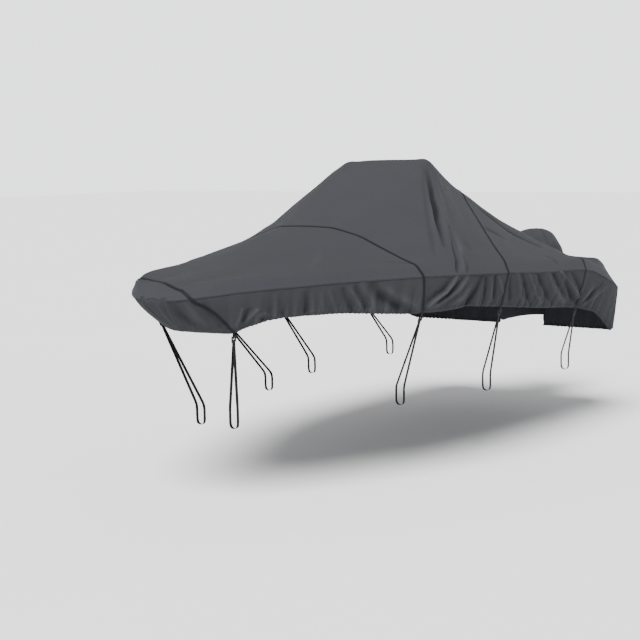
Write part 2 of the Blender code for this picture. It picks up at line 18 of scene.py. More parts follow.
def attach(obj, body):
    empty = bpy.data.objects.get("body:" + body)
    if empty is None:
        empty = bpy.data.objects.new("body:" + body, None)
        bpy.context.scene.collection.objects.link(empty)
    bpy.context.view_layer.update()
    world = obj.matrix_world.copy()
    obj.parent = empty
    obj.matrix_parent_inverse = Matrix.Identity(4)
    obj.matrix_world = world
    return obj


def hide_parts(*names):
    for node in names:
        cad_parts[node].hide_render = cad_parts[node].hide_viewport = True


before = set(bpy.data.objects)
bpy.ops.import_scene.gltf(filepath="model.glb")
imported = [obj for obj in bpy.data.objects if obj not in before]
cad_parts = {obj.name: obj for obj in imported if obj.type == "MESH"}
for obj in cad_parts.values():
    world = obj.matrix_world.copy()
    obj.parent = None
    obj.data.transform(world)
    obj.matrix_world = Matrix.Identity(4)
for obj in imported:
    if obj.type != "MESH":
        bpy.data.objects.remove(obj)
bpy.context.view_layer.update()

# %% [markdown]
# The camera stands off the port bow, just above the height of the ridge, with a long lens.
# Its axes are worked out from three angles: the turn from the bow line, the small
# downward tilt, and a roll of one degree.

# %% Camera
CAMERA_PLACE = (-9.280, -6.250, 0.072)
CAMERA_TURN = math.radians(36.75)
CAMERA_TILT = math.radians(6.83)
CAMERA_ROLL = math.radians(1.04)
LENS = 78.75


def add_camera():
    """Camera axes: forward from turn and tilt, right level with the floor, then rolled."""
    forward = Vector((
        math.cos(CAMERA_TURN) * math.cos(CAMERA_TILT),
        math.sin(CAMERA_TURN) * math.cos(CAMERA_TILT),
        -math.sin(CAMERA_TILT),
    ))
    right = forward.cross(Vector((0, 0, 1))).normalized()
    down = forward.cross(right)
    cos, sin = math.cos(CAMERA_ROLL), math.sin(CAMERA_ROLL)
    right, down = cos * right + sin * down, cos * down - sin * right
    lens = bpy.data.cameras.new("camera")
    lens.lens = LENS
    lens.sensor_width = 36.0
    lens.clip_end = 100.0
    made = bpy.data.objects.new("camera", lens)
    bpy.context.scene.collection.objects.link(made)
    columns = (right, -down, -forward)
    for row in range(3):
        for column in range(3):
            made.matrix_world[row][column] = columns[column][row]
    made.location = CAMERA_PLACE
    bpy.context.scene.camera = made
    return made


camera = add_camera()
print("camera at", [round(v, 3) for v in camera.location], "lens", LENS)

# %% [markdown]
# The cover is cut from sections, as a pattern maker would draw it: a row for each
# station from bow to stern. Lengths run from a datum near the stern and heights from
# the ground, and `place` moves both to the frame of the solids.

# %% Stations
SHIFT = np.array((1.600, 0.0, -2.318))
LIP_WIDE, LIP_TALL, DOME = 0.065, 0.075, 0.012
HOOD_HALF = 0.225
RIDGE_ROW = 21
HOOD_ROW = 39

# centre, rail and hem: x of the station on the middle line, at the rail, at the hem
# crown: half width of the flat middle; top: height of the middle; fold: soft crease
STATIONS = np.array((
    # centre   rail    hem   crown  top    fold
    (-4.320, -4.310, -4.07, 0.05, 1.472, 0.000),
    (-4.294, -4.284, -4.06, 0.09, 1.510, 0.000),
    (-4.230, -4.220, -4.04, 0.12, 1.546, 0.000),
    (-4.130, -4.120, -4.00, 0.15, 1.567, 0.000),
    (-4.020, -4.010, -3.95, 0.17, 1.579, 0.000),
    (-3.900, -3.900, -3.86, 0.19, 1.586, 0.000),
    (-3.770, -3.770, -3.74, 0.20, 1.597, 0.000),
    (-3.620, -3.620, -3.60, 0.21, 1.618, 0.000),
    (-3.460, -3.460, -3.45, 0.23, 1.654, 0.000),
    (-3.280, -3.280, -3.27, 0.24, 1.699, 0.000),
    (-3.100, -3.100, -3.10, 0.25, 1.746, 0.000),
    (-2.950, -2.950, -2.95, 0.26, 1.786, 0.000),
    (-2.820, -2.820, -2.82, 0.26, 1.818, 0.000),
    (-2.700, -2.700, -2.72, 0.26, 1.846, 0.000),
    (-2.580, -2.620, -2.63, 0.26, 1.874, 0.004),
    (-2.420, -2.560, -2.56, 0.28, 1.938, 0.006),
    (-2.200, -2.500, -2.50, 0.32, 2.042, 0.004),
    (-1.980, -2.450, -2.45, 0.37, 2.152, 0.000),
    (-1.800, -2.410, -2.41, 0.39, 2.240, 0.006),
    (-1.680, -2.370, -2.37, 0.40, 2.298, -0.006),
    (-1.630, -2.330, -2.33, 0.405, 2.318, 0.006),
    (-1.600, -2.280, -2.28, 0.405, 2.322, -0.012),
    (-1.565, -2.220, -2.22, 0.395, 2.319, 0.010),
    (-1.490, -2.130, -2.13, 0.390, 2.290, 0.006),
    (-1.370, -2.020, -2.02, 0.390, 2.218, -0.004),
    (-1.230, -1.900, -1.90, 0.400, 2.132, 0.004),
    (-1.030, -1.740, -1.78, 0.43, 2.032, 0.000),
    (-0.860, -1.580, -1.62, 0.460, 1.940, 0.004),
    (-0.700, -1.400, -1.44, 0.52, 1.844, -0.004),
    (-0.560, -1.220, -1.25, 0.62, 1.744, 0.000),
    (-0.440, -1.020, -1.05, 0.73, 1.650, 0.000),
    (-0.340, -0.820, -0.86, 0.84, 1.575, 0.000),
    (-0.240, -0.620, -0.66, 0.93, 1.520, 0.000),
    (-0.120, -0.450, -0.52, 0.97, 1.494, 0.000),
    (-0.020, -0.280, -0.36, 0.985, 1.479, 0.000),
    (0.070, -0.120, -0.20, 0.985, 1.468, 0.000),
    (0.160, 0.040, -0.05, 0.97, 1.460, 0.000),
    (0.250, 0.180, 0.10, 0.955, 1.447, 0.000),
    (0.350, 0.320, 0.26, 0.935, 1.418, 0.000),
    (0.450, 0.440, 0.40, 0.915, 1.372, 0.000),
    (0.540, 0.540, 0.51, 0.87, 1.280, 0.000),
    (0.610, 0.610, 0.59, 0.83, 1.200, 0.000),
    (0.650, 0.650, 0.63, 0.82, 1.160, 0.000),
    (0.660, 0.660, 0.64, 0.82, 1.145, 0.000),
))
# x and half width at the rail
OUTLINE = np.array((
    (-4.320, 0.030), (-4.310, 0.110), (-4.284, 0.180), (-4.220, 0.270),
    (-4.120, 0.358), (-4.010, 0.435), (-3.850, 0.555), (-3.650, 0.665),
    (-3.400, 0.775), (-3.200, 0.860), (-3.000, 0.940), (-2.700, 1.040),
    (-2.400, 1.110), (-2.000, 1.165), (-1.600, 1.180), (-0.500, 1.180),
    (0.000, 1.160), (0.200, 1.132), (0.400, 1.075), (0.540, 1.000),
    (0.620, 0.925), (0.650, 0.870), (0.660, 0.835),
))
# x and height of the rail
RAIL = np.array((
    (-4.320, 1.462), (-4.220, 1.480), (-4.000, 1.503), (-3.800, 1.517),
    (-3.400, 1.527), (-3.200, 1.528), (-2.700, 1.524), (-2.330, 1.510),
    (-1.740, 1.480), (-1.170, 1.440), (-0.490, 1.410), (-0.270, 1.375),
    (-0.050, 1.310), (0.200, 1.235), (0.450, 1.170), (0.660, 1.130),
))
# x and height of the hem
HEM = np.array((
    (-4.070, 1.227), (-4.000, 1.222), (-3.940, 1.220), (-3.880, 1.250),
    (-3.820, 1.290),
    (-3.650, 1.310), (-3.310, 1.310), (-2.760, 1.260), (-2.440, 1.250),
    (-2.140, 1.260), (-1.840, 1.230), (-1.060, 1.140), (-0.600, 1.100),
    (-0.300, 1.060), (-0.050, 1.000), (0.150, 0.900), (0.380, 0.800),
    (0.660, 0.765),
))
# x and how far the hem stands in from the rail
INSET = np.array((
    (-4.320, 0.080), (-4.284, 0.095), (-4.220, 0.100), (-4.000, 0.085),
    (-3.700, 0.060), (-3.300, 0.055), (-2.600, 0.055),
    (-1.600, 0.075), (-0.800, 0.080), (-0.200, 0.095), (0.400, 0.050),
    (0.660, 0.020),
))
CROWN_STEPS = np.array((0.0, 0.33, 0.66, 0.92))
SIDE_STEPS = np.array((0.06, 0.20, 0.36, 0.52, 0.68, 0.84, 1.0))


def place(points):
    """Pattern coordinates moved to the frame of the solids."""
    return np.asarray(points, float) + SHIFT


def look_up(table, x):
    """Straight-line values of a two-column table at the places x."""
    return np.interp(x, table[:, 0], table[:, 1])


print("stations", len(STATIONS), "from", STATIONS[0, 0], "to", STATIONS[-1, 0])

# %% [markdown]
# A net of points is laid over the stations first: flat crown, a straight taut side and a
# short rounded lip above the rail. A curve is then drawn through the net's rows and
# columns. Hermite's cubic is used, because it passes through every point of the net, so
# the cloth stays on its solid.

# %% The net and the curve through it
def section_net():
    """Half sections for all stations at once.  Over the crown the height is
    top - DOME * (y / crown)^2; down the side it is a straight line to the lip, moved out
    by fold * sin(pi * share); the last point is the rail."""
    centre, rail, _, crown, top, fold = STATIONS.T
    beam = look_up(OUTLINE, rail)
    rail_z = look_up(RAIL, rail)
    crown = np.where(rail < 0, np.minimum(crown, 0.75 * beam), np.minimum(crown, beam - 0.02))
    fade = np.clip(1.0 - (rail - 0.3) / 0.4, 0.15, 1.0)
    lip_wide = np.minimum(np.minimum(LIP_WIDE, 0.2 * beam), 0.8 * (beam - crown))
    lip_tall = LIP_TALL * np.minimum(1.0, beam / 0.45) * fade
    y = crown[:, None] * CROWN_STEPS
    y[:, 1] = np.minimum(y[:, 1], HOOD_HALF)
    z = top[:, None] - DOME * (y / crown[:, None]) ** 2
    flat = np.stack((np.repeat(centre[:, None], 4, 1), y, z), axis=2)
    end_y = (beam - lip_wide)[:, None]
    y = crown[:, None] + (end_y - crown[:, None]) * SIDE_STEPS
    start_z = (top - DOME)[:, None]
    z = start_z + ((rail_z + lip_tall)[:, None] - start_z) * SIDE_STEPS
    bump = fold[:, None] * np.sin(np.pi * np.minimum(1.0, SIDE_STEPS * 1.05)) ** 0.6
    bump = np.where(SIDE_STEPS < 0.95, bump, 0.0)
    x = centre[:, None] + (rail - centre)[:, None] * (y - crown[:, None]) / (beam - crown)[:, None]
    side = np.stack((x, y + 0.6 * bump, z + 0.8 * bump), axis=2)
    edge = np.stack((rail, beam, rail_z), axis=1)[:, None]
    half = np.concatenate((flat, side, edge), axis=1)
    port = half[:, :0:-1] * (1.0, -1.0, 1.0)
    return place(np.concatenate((port, half), axis=1))


def curve_through(points, at):
    """Points at the places `at` (0 to n-1) of smooth curves through n rows of points.
    Each curve is Hermite's cubic between neighbouring rows, with the slope at a row taken
    from the parabola through it and its two neighbours."""
    gap = np.maximum(np.linalg.norm(np.diff(points, axis=0), axis=-1, keepdims=True), 1e-6)
    pace = np.diff(points, axis=0) / gap
    slope = np.concatenate((pace[:1], pace, pace[-1:]))[:-1]
    slope[1:-1] = (pace[:-1] * gap[1:] + pace[1:] * gap[:-1]) / (gap[1:] + gap[:-1])
    slope[-1] = pace[-1]
    k = np.minimum(at.astype(int), len(points) - 2)
    f = (at - k).reshape((-1,) + (1,) * (points.ndim - 1))
    h = gap[k]
    return (
        (1 + 2 * f) * (1 - f) ** 2 * points[k]
        + f * (1 - f) ** 2 * h * slope[k]
        + f ** 2 * (3 - 2 * f) * points[k + 1]
        - f ** 2 * (1 - f) * h * slope[k + 1]
    )


def normals_of(grid):
    """Unit normals of a grid: the cross product of its two directions."""
    normals = np.cross(np.gradient(grid, axis=0), np.gradient(grid, axis=1))
    return normals / np.maximum(np.linalg.norm(normals, axis=2, keepdims=True), 1e-9)


NET = section_net()
MIDDLE = NET.shape[1] // 2
print("net", NET.shape[:2], "ridge height", round(float(NET[RIDGE_ROW, MIDDLE, 2]), 4))

# %% [markdown]
# A cloth piece here is one grid of points. `refine` draws the net at a finer spacing, and
# `spread` puts its rows closer together where the cloth has sharp folds, so that the same
# number of faces shows more. The sheets keep two UV maps in metres: "cloth", which runs
# with the threads, and "seam", which says how far a point is from a sewn edge and how far
# along it, so stitches can follow the edge.

# %% Grids and meshes
CLOTH_THICK = 0.0018
STITCH_LAP, LAP_OUT = 0.012, 0.0010


def spread(points, count, focus=()):
    """Places along the rows of a net, even in length.  A focus (place, reach, weight)
    makes them closer by the factor 1 + weight * exp(-((row - place) / reach)^2)."""
    gap = np.linalg.norm(np.diff(points, axis=0), axis=-1).mean(axis=1)
    fine = np.linspace(0, len(points) - 1, 40 * (len(points) - 1) + 1)
    middle = 0.5 * (fine[1:] + fine[:-1])
    weight = gap[middle.astype(int)]
    for row, reach, extra in focus:
        weight = weight * (1 + extra * np.exp(-((middle - row) / reach) ** 2))
    travel = np.concatenate(([0.0], np.cumsum(weight)))
    return np.interp(np.linspace(0, travel[-1], count), travel, fine)


def refine(net, rows_at, columns_at):
    """The net drawn finer: curves through its columns, then through its rows."""
    rows = curve_through(net, rows_at)
    return curve_through(rows.swapaxes(0, 1), columns_at).swapaxes(0, 1)


def travel_along(grid, axis):
    """Distance walked from the first line of a grid along one axis."""
    step = np.linalg.norm(np.diff(grid, axis=axis), axis=2)
    start = np.zeros_like(np.take(step, [0], axis=axis))
    return np.concatenate((start, np.cumsum(step, axis=axis)), axis=axis)


def cloth_piece(name, grid, maps, look, outward, crease, keep=None):
    """A sheet from a grid: four-sided faces between neighbours, turned so that they face
    `outward`, a field of directions; keep drops cells, as for an opening.  `crease` is how
    far folds raise each point, kept as an attribute that the material reads to paint shade
    into troughs and light onto crests."""
    rows, columns = grid.shape[:2]
    index = np.arange(rows * columns).reshape(rows, columns)
    quads = np.stack(
        (index[:-1, :-1], index[1:, :-1], index[1:, 1:], index[:-1, 1:]), axis=-1)
    if np.sum(normals_of(grid) * outward) < 0:
        quads = quads[..., ::-1]
    quads = quads[keep] if keep is not None else quads.reshape(-1, 4)
    used, quads = np.unique(quads, return_inverse=True)
    quads = quads.reshape(-1, 4)
    mesh = bpy.data.meshes.new(name)
    mesh.from_pydata(grid.reshape(-1, 3)[used].tolist(), [], quads.tolist())
    for label, values in maps.items():
        layer = mesh.uv_layers.new(name=label)
        layer.data.foreach_set("uv", values.reshape(-1, 2)[used][quads].ravel())
    depth = mesh.attributes.new("crease", "FLOAT", "POINT")
    depth.data.foreach_set("value", crease.reshape(-1)[used])
    mesh.polygons.foreach_set("use_smooth", np.ones(len(quads), bool))
    mesh.materials.append(look)
    made = bpy.data.objects.new(name, mesh)
    bpy.context.scene.collection.objects.link(made)
    return made


def thicken(piece, thickness=CLOTH_THICK):
    """Gives a sheet its thickness, inward from the face that shows."""
    wall = piece.modifiers.new("thickness", "SOLIDIFY")
    wall.thickness = thickness
    wall.offset = -1.0
    return piece


def triangles(piece):
    """Triangles of the piece with its modifiers."""
    mesh = piece.evaluated_get(bpy.context.evaluated_depsgraph_get()).to_mesh()
    mesh.calc_loop_triangles()
    return len(mesh.loop_triangles)

# %% [markdown]
# Charcoal marine cloth is a plain weave with a dull coating. Its colour is nearly even,
# so most of what the eye reads is the weave's fine grain, faint lighter rubbing along the
# edges, and two rows of stitches beside each seam. The weave is two sets of waves on the
# "cloth" map, crossed; the stitches are dashes on the "seam" map. Shade is painted into
# the troughs of the folds, which are made darker, and light is painted onto their crests,
# which are made paler.

# %% Cloth finish
CLOTH_DARK = (0.0230, 0.0240, 0.0272, 1.0)
CLOTH_LIGHT = (0.0290, 0.0302, 0.0338, 1.0)
THREAD_GREY = (0.0120, 0.0125, 0.0140, 1.0)
RUBBED = (0.036, 0.037, 0.041, 1.0)
WEAVE_PITCH = 0.0022
STITCH_PITCH = 0.0055
# painted shade in fold troughs and painted light on fold crests: fold depth in metres, and the
# colour factor there
TROUGH_DEEP, TROUGH_PAINTED_SHADE = -0.022, 0.44
CREST_TALL, CREST_PAINTED_LIGHT = 0.016, 1.42


def add_node(tree, kind, inputs=(), **settings):
    """A node with its settings, and its inputs given as values or as sockets to link."""
    made = tree.nodes.new(kind)
    for key, value in settings.items():
        setattr(made, key, value)
    for key, value in dict(inputs).items():
        if isinstance(value, bpy.types.NodeSocket):
            tree.links.new(value, made.inputs[key])
        else:
            made.inputs[key].default_value = value
    return made


def maths(tree, kind, *values):
    """A Math node; returns its output."""
    return add_node(tree, "ShaderNodeMath", enumerate(values), operation=kind).outputs[0]


def blank_look(name):
    """A material with an empty tree but for its Principled shader and output."""
    look = bpy.data.materials.new(name)
    look.use_nodes = True
    return look, look.node_tree, look.node_tree.nodes["Principled BSDF"]


def woven(tree, coordinates, pitch):
    """Height of a plain weave, 0 to 1: two crossed sets of bands, one pitch apart."""
    bands = [add_node(tree, "ShaderNodeTexWave", {
        "Vector": coordinates, "Scale": math.pi / 10 / pitch, "Distortion": 0.25,
        "Detail": 1.0, "Detail Scale": 0.4}, bands_direction=axis).outputs["Fac"]
        for axis in ("X", "Y")]
    return maths(tree, "MAXIMUM", *bands)


def cloth_look(name, dark, light):
    """Marine cloth: mottled colour, crossed weave, soft crumple, stitches on seams, and
    painted shade in fold troughs and painted light on fold crests.
    """
    look, tree, shader = blank_look(name)
    threads = add_node(tree, "ShaderNodeUVMap", uv_map="cloth").outputs["UV"]
    sewn = add_node(tree, "ShaderNodeUVMap", uv_map="seam").outputs["UV"]
    place_in = add_node(tree, "ShaderNodeTexCoord").outputs["Object"]
    mottle = add_node(tree, "ShaderNodeTexNoise", {
        "Vector": place_in, "Scale": 2.6, "Detail": 5.0, "Roughness": 0.6}).outputs["Fac"]
    grain = add_node(tree, "ShaderNodeTexNoise", {
        "Vector": threads, "Scale": 260.0, "Detail": 2.0}).outputs["Fac"]
    tone = maths(tree, "ADD", maths(tree, "MULTIPLY", mottle, 0.75),
                 maths(tree, "MULTIPLY", grain, 0.25))
    colour = add_node(tree, "ShaderNodeMix", {0: tone, 6: dark, 7: light}, data_type="RGBA")
    axes = add_node(tree, "ShaderNodeSeparateXYZ", {0: sewn})
    rubbed = maths(tree, "MULTIPLY", add_node(tree, "ShaderNodeMapRange", {
        0: axes.outputs[0], 1: 0.0, 2: 0.030, 3: 0.35, 4: 0.0}).outputs[0], mottle)
    worn = add_node(tree, "ShaderNodeMix", {
        0: rubbed, 6: colour.outputs[2], 7: RUBBED}, data_type="RGBA")
    rows = maths(tree, "PINGPONG", maths(tree, "SUBTRACT", axes.outputs[0], 0.0045), 0.0035)
    inside = maths(tree, "LESS_THAN", axes.outputs[0], 0.0130)
    line = maths(tree, "MULTIPLY", maths(tree, "LESS_THAN", rows, 0.0006), inside)
    dash = maths(tree, "LESS_THAN", maths(
        tree, "FRACT", maths(tree, "DIVIDE", axes.outputs[1], STITCH_PITCH)), 0.68)
    stitch = maths(tree, "MULTIPLY", line, dash)
    sewn_on = add_node(tree, "ShaderNodeMix", {
        0: stitch, 6: worn.outputs[2], 7: THREAD_GREY}, data_type="RGBA")
    # painted shade and painted light: the colour is made darker in fold troughs and paler on fold
    # crests, by the crease attribute
    crease = add_node(tree, "ShaderNodeAttribute", attribute_name="crease").outputs["Fac"]
    trough = add_node(tree, "ShaderNodeMapRange", {
        0: crease, 1: TROUGH_DEEP, 2: -0.001, 3: TROUGH_PAINTED_SHADE, 4: 1.0}).outputs[0]
    crest = add_node(tree, "ShaderNodeMapRange", {
        0: crease, 1: 0.002, 2: CREST_TALL, 3: 1.0, 4: CREST_PAINTED_LIGHT}).outputs[0]
    shaded = add_node(tree, "ShaderNodeVectorMath", {
        0: sewn_on.outputs[2], "Scale": maths(tree, "MULTIPLY", trough, crest)},
        operation="SCALE").outputs[0]
    tree.links.new(shaded, shader.inputs["Base Color"])
    rough = add_node(tree, "ShaderNodeMapRange", {0: grain, 3: 0.84, 4: 0.96}).outputs[0]
    tree.links.new(rough, shader.inputs["Roughness"])
    shader.inputs["Specular IOR Level"].default_value = 0.06
    shader.inputs["Sheen Weight"].default_value = 0.02
    shader.inputs["Sheen Roughness"].default_value = 0.55
    crumple = add_node(tree, "ShaderNodeTexNoise", {
        "Vector": place_in, "Scale": 9.0, "Detail": 4.0, "Roughness": 0.55,
        "Distortion": 0.6}).outputs["Fac"]
    soft = add_node(tree, "ShaderNodeBump", {
        "Height": crumple, "Strength": 0.35, "Distance": 0.006})
    raised = maths(tree, "ADD", woven(tree, threads, WEAVE_PITCH),
                   maths(tree, "MULTIPLY", stitch, 2.0))
    fine = add_node(tree, "ShaderNodeBump", {
        "Height": raised, "Strength": 0.5, "Distance": 0.0004,
        "Normal": soft.outputs[0]})
    tree.links.new(fine.outputs[0], shader.inputs["Normal"])
    return look


charcoal = cloth_look("charcoal_cloth", CLOTH_DARK, CLOTH_LIGHT)
print("cloth finish nodes", len(charcoal.node_tree.nodes))

# %% [markdown]
# Cloth that is pulled over an edge puckers: long troughs run from the place that pulls,
# with a soft crest on one side. Each fold is given as a short line of points
# with its own depth at each of them, in millimetres, and its shape across is the bell
# curve exp(-(d / width)^2). A crest beside a trough makes the steep side of a pucker.

# %% Folds of the top
# width, then x, y, height and depth in mm of each point of the fold; crests are above 0
PORT_FOLDS = (
    # below the ridge's end: a soft line, a crest, the deep trough, and the crest beyond it
    (0.024, ((-1.66, -0.40, 2.28, -2), (-1.85, -0.52, 2.12, -6), (-2.06, -0.68, 1.94, -7),
             (-2.25, -0.83, 1.77, -5), (-2.41, -0.96, 1.64, -2))),
    (0.026, ((-1.75, -0.46, 2.19, 3), (-1.87, -0.55, 2.08, 8), (-1.97, -0.63, 1.99, 10),
             (-2.08, -0.72, 1.90, 9), (-2.18, -0.80, 1.81, 4))),
    (0.020, ((-1.65, -0.42, 2.26, -5), (-1.71, -0.46, 2.22, -9), (-1.83, -0.56, 2.10, -14),
             (-1.91, -0.62, 2.02, -20), (-1.99, -0.70, 1.94, -25), (-2.07, -0.76, 1.87, -22),
             (-2.14, -0.84, 1.80, -13), (-2.24, -0.93, 1.70, -6))),
    (0.038, ((-1.70, -0.50, 2.17, 3), (-1.80, -0.60, 2.05, 8), (-1.92, -0.71, 1.93, 10),
             (-2.02, -0.80, 1.83, 8), (-2.10, -0.88, 1.75, 4))),
    (0.011, ((-1.66, -0.42, 2.26, -4), (-1.75, -0.49, 2.18, -8), (-1.87, -0.59, 2.06, -10),
             (-1.97, -0.68, 1.96, -10), (-2.05, -0.745, 1.885, -6))),
    # the lines that run on to the rail
    (0.014, ((-2.03, -0.83, 1.82, -5), (-2.10, -0.90, 1.74, -10), (-2.18, -0.98, 1.67, -13),
             (-2.24, -1.04, 1.60, -14), (-2.34, -1.10, 1.53, -10))),
    (0.026, ((-2.00, -0.88, 1.77, 4), (-2.10, -0.98, 1.67, 8), (-2.18, -1.05, 1.58, 8),
             (-2.28, -1.11, 1.52, 5))),
    (0.017, ((-2.13, -1.02, 1.64, -4), (-2.16, -1.06, 1.59, -9), (-2.19, -1.10, 1.55, -10),
             (-2.25, -1.12, 1.51, -7))),
    (0.020, ((-1.98, -0.94, 1.72, -5), (-1.98, -0.99, 1.67, -5))),
    # beside the mid strap
    (0.022, ((-1.41, -0.78, 1.78, -6), (-1.32, -0.80, 1.75, -9), (-1.25, -0.85, 1.70, -5))),
    # the hollow under the aft shoulder, and the crest over it
    (0.030, ((-1.08, -0.55, 1.90, -7), (-1.02, -0.58, 1.86, -14), (-0.97, -0.63, 1.81, -21),
             (-0.89, -0.70, 1.73, -21), (-0.83, -0.75, 1.69, -17), (-0.76, -0.81, 1.65, -12),
             (-0.66, -0.87, 1.60, -6))),
    (0.012, ((-1.02, -0.58, 1.86, -4), (-0.94, -0.65, 1.78, -9), (-0.84, -0.74, 1.70, -7))),
    (0.030, ((-0.92, -0.55, 1.87, 3), (-0.82, -0.62, 1.80, 6), (-0.73, -0.69, 1.73, 7),
             (-0.60, -0.78, 1.65, 5))),
    (0.022, ((-0.85, -1.05, 1.53, -5), (-0.88, -1.13, 1.49, -7))),
    # beside the fore strap's upper end, and slack across the fore deck
    (0.024, ((-2.62, -0.98, 1.58, -3), (-2.72, -0.92, 1.61, -5), (-2.86, -0.82, 1.63, -2))),
    (0.034, ((-3.42, -0.60, 1.60, 2), (-3.22, -0.52, 1.65, 4), (-3.02, -0.40, 1.71, 2))),
)
# wide, slow forms, which are left out of the painted shade and light
WIDE_FORMS = (
    (0.130, ((-2.95, -0.42, 1.74, 4), (-2.72, -0.46, 1.78, 12), (-2.55, -0.52, 1.80, 5))),
    (0.080, ((-1.63, -0.30, 2.31, 5), (-1.60, -0.36, 2.31, 7))),
    (0.060, ((-1.63, 0.34, 2.31, 5), (-1.59, 0.40, 2.30, 5))),
    (0.110, ((-0.90, -0.46, 1.93, -4), (-0.75, -0.50, 1.86, -6), (-0.60, -0.56, 1.77, -5))),
    # the starboard side hangs slacker below the ridge and along the fore deck
    (0.190, ((-2.46, 0.84, 1.71, -7), (-2.25, 0.83, 1.77, -20), (-2.13, 0.74, 1.88, -26),
             (-1.99, 0.62, 2.02, -20), (-1.80, 0.54, 2.14, -17), (-1.68, 0.45, 2.26, -12))),
    (0.070, ((-2.25, 0.83, 1.78, -7), (-2.15, 0.77, 1.85, -7))),
    (0.080, ((-2.52, 0.82, 1.69, 4), (-2.41, 0.84, 1.70, 4))),
    (0.110, ((-3.78, 0.54, 1.59, -4), (-3.54, 0.65, 1.60, -11), (-3.25, 0.75, 1.61, -15),
             (-3.05, 0.81, 1.62, -14), (-2.88, 0.82, 1.63, -5))),
    (0.090, ((-4.22, 0.20, 1.53, 3), (-4.09, 0.36, 1.52, 9), (-3.99, 0.43, 1.51, 2))),
)
STARBOARD_FOLDS = (
    (0.036, ((-1.80, 0.52, 2.12, -4), (-1.95, 0.66, 1.98, -12), (-2.10, 0.80, 1.82, -14),
             (-2.24, 0.94, 1.68, -6))),
    (0.030, ((-1.75, 0.56, 2.10, 3), (-1.86, 0.68, 1.97, 8), (-1.98, 0.80, 1.84, 6))),
    (0.022, ((-2.08, 0.92, 1.72, -5), (-2.20, 1.02, 1.62, -9), (-2.32, 1.10, 1.53, -7))),
    (0.050, ((-1.00, 0.60, 1.84, -9), (-0.90, 0.70, 1.74, -18), (-0.74, 0.82, 1.64, -12))),
    (0.030, ((-1.50, 0.80, 1.78, -3), (-1.38, 0.92, 1.68, -7), (-1.22, 1.02, 1.60, -4))),
    (0.026, ((-3.20, 0.60, 1.62, -2), (-2.98, 0.78, 1.60, -6), (-2.82, 0.94, 1.57, -4))),
)


def fold_height(points, width, path):
    """Height in metres that one fold adds at each point: the depth of the nearest place
    on its path, times exp(-(d / width)^2), where d is the distance to that place."""
    near = np.full(points.shape[:-1], np.inf)
    height = np.zeros(points.shape[:-1])
    for start, end in zip(path[:-1], path[1:]):
        run = end[:3] - start[:3]
        share = np.clip((points - start[:3]) @ run / (run @ run), 0.0, 1.0)
        far = np.linalg.norm(points - start[:3] - share[..., None] * run, axis=-1)
        depth = (start[3] + (end[3] - start[3]) * share) / 1000.0
        height = np.where(far < near, depth * np.exp(-(far / width) ** 2), height)
        near = np.minimum(near, far)
    return height


FOLD_GAIN = 1.45


def all_folds(points, table, narrow=1.0):
    """Sum of the folds of a table at each point, all deepened by the same gain; `narrow`
    below 1 makes every fold sharper by that share of its width."""
    total = np.zeros(points.shape[:-1])
    for width, path in table:
        path = np.array(path, float)
        path[:, :3] = place(path[:, :3])
        total += fold_height(points, narrow * width, path)
    return FOLD_GAIN * total


def swells(points, seed, size, height):
    """Slow swells of the cloth: a few sine waves of seeded directions and lengths."""
    draw = np.random.default_rng(seed)
    total = np.zeros(points.shape[:-1])
    for _ in range(7):
        way = draw.normal(size=3)
        way *= 2 * math.pi / (size * draw.uniform(0.6, 1.7)) / np.linalg.norm(way)
        total += np.sin(points @ way + draw.uniform(0, 6.28))
    return total * height / 7 ** 0.5


print("folds on the top", len(PORT_FOLDS) + len(STARBOARD_FOLDS))

# %% [markdown]
# The top is two panels that meet in a seam along the ridge. Each is a grid of some 47 000
# faces, drawn from the net, with the folds added along its normals. The edge at the rail
# laps over the skirt by a seam's width, as a felled seam does. The bow panel's last rows run
# on under the stern panel, so no gap shows along the ridge.

# %% Top panels
ACROSS = 216


def lap_over(grid, side):
    """The grid with a narrow strip added beyond one edge: down over the skirt."""
    edge = grid[:, 0] if side < 0 else grid[:, -1]
    down = edge + (0.0, side * LAP_OUT, -STITCH_LAP)
    return np.concatenate((down[:, None], grid) if side < 0 else (grid, down[:, None]), axis=1)


def top_sheet(first, last, rows, focus, under=0.0):
    """One panel: the refined net between two of its rows, moved along its normals by the
    folds and the swells.  `under` is how many rows it runs on under the next panel."""
    rows_at = first + spread(NET[first:last + 1], rows, focus)
    if under:
        rows_at = np.concatenate((rows_at, last + under * np.array((0.35, 0.7, 1.0))))
    columns_at = spread(NET[first:last + 1].swapaxes(0, 1), ACROSS, ((4.5, 4.0, 0.5),))
    grid = refine(NET, rows_at, columns_at)
    normals = normals_of(grid)
    normals *= np.sign(normals[..., 2:3] + 1e-9)
    across = travel_along(grid, 1)
    from_rail = np.minimum(across, across[:, -1:] - across)
    held = 1 - np.exp(-(from_rail / 0.035) ** 2)
    # crease: the height of the sharp folds, which the cloth material also turns into painted shade
    # in troughs and painted light on crests
    crease = (all_folds(grid, PORT_FOLDS) + all_folds(grid, STARBOARD_FOLDS)) * (0.5 + 0.5 * held)
    rise = crease + all_folds(grid, WIDE_FORMS) + swells(grid, 3, 0.55, 0.0014) * held
    rise[rows_at > last] -= 0.0030 if under else 0.0
    return grid + normals * rise[..., None], rows_at, crease, normals


bow_grid, _, bow_crease, bow_up = top_sheet(
    0, RIDGE_ROW, 213, ((19.3, 2.0, 3.2),), 0.2)
stern_grid, stern_rows, stern_crease, stern_up = top_sheet(
    RIDGE_ROW, len(STATIONS) - 1, 216, ((7.5, 3.5, 1.0),))


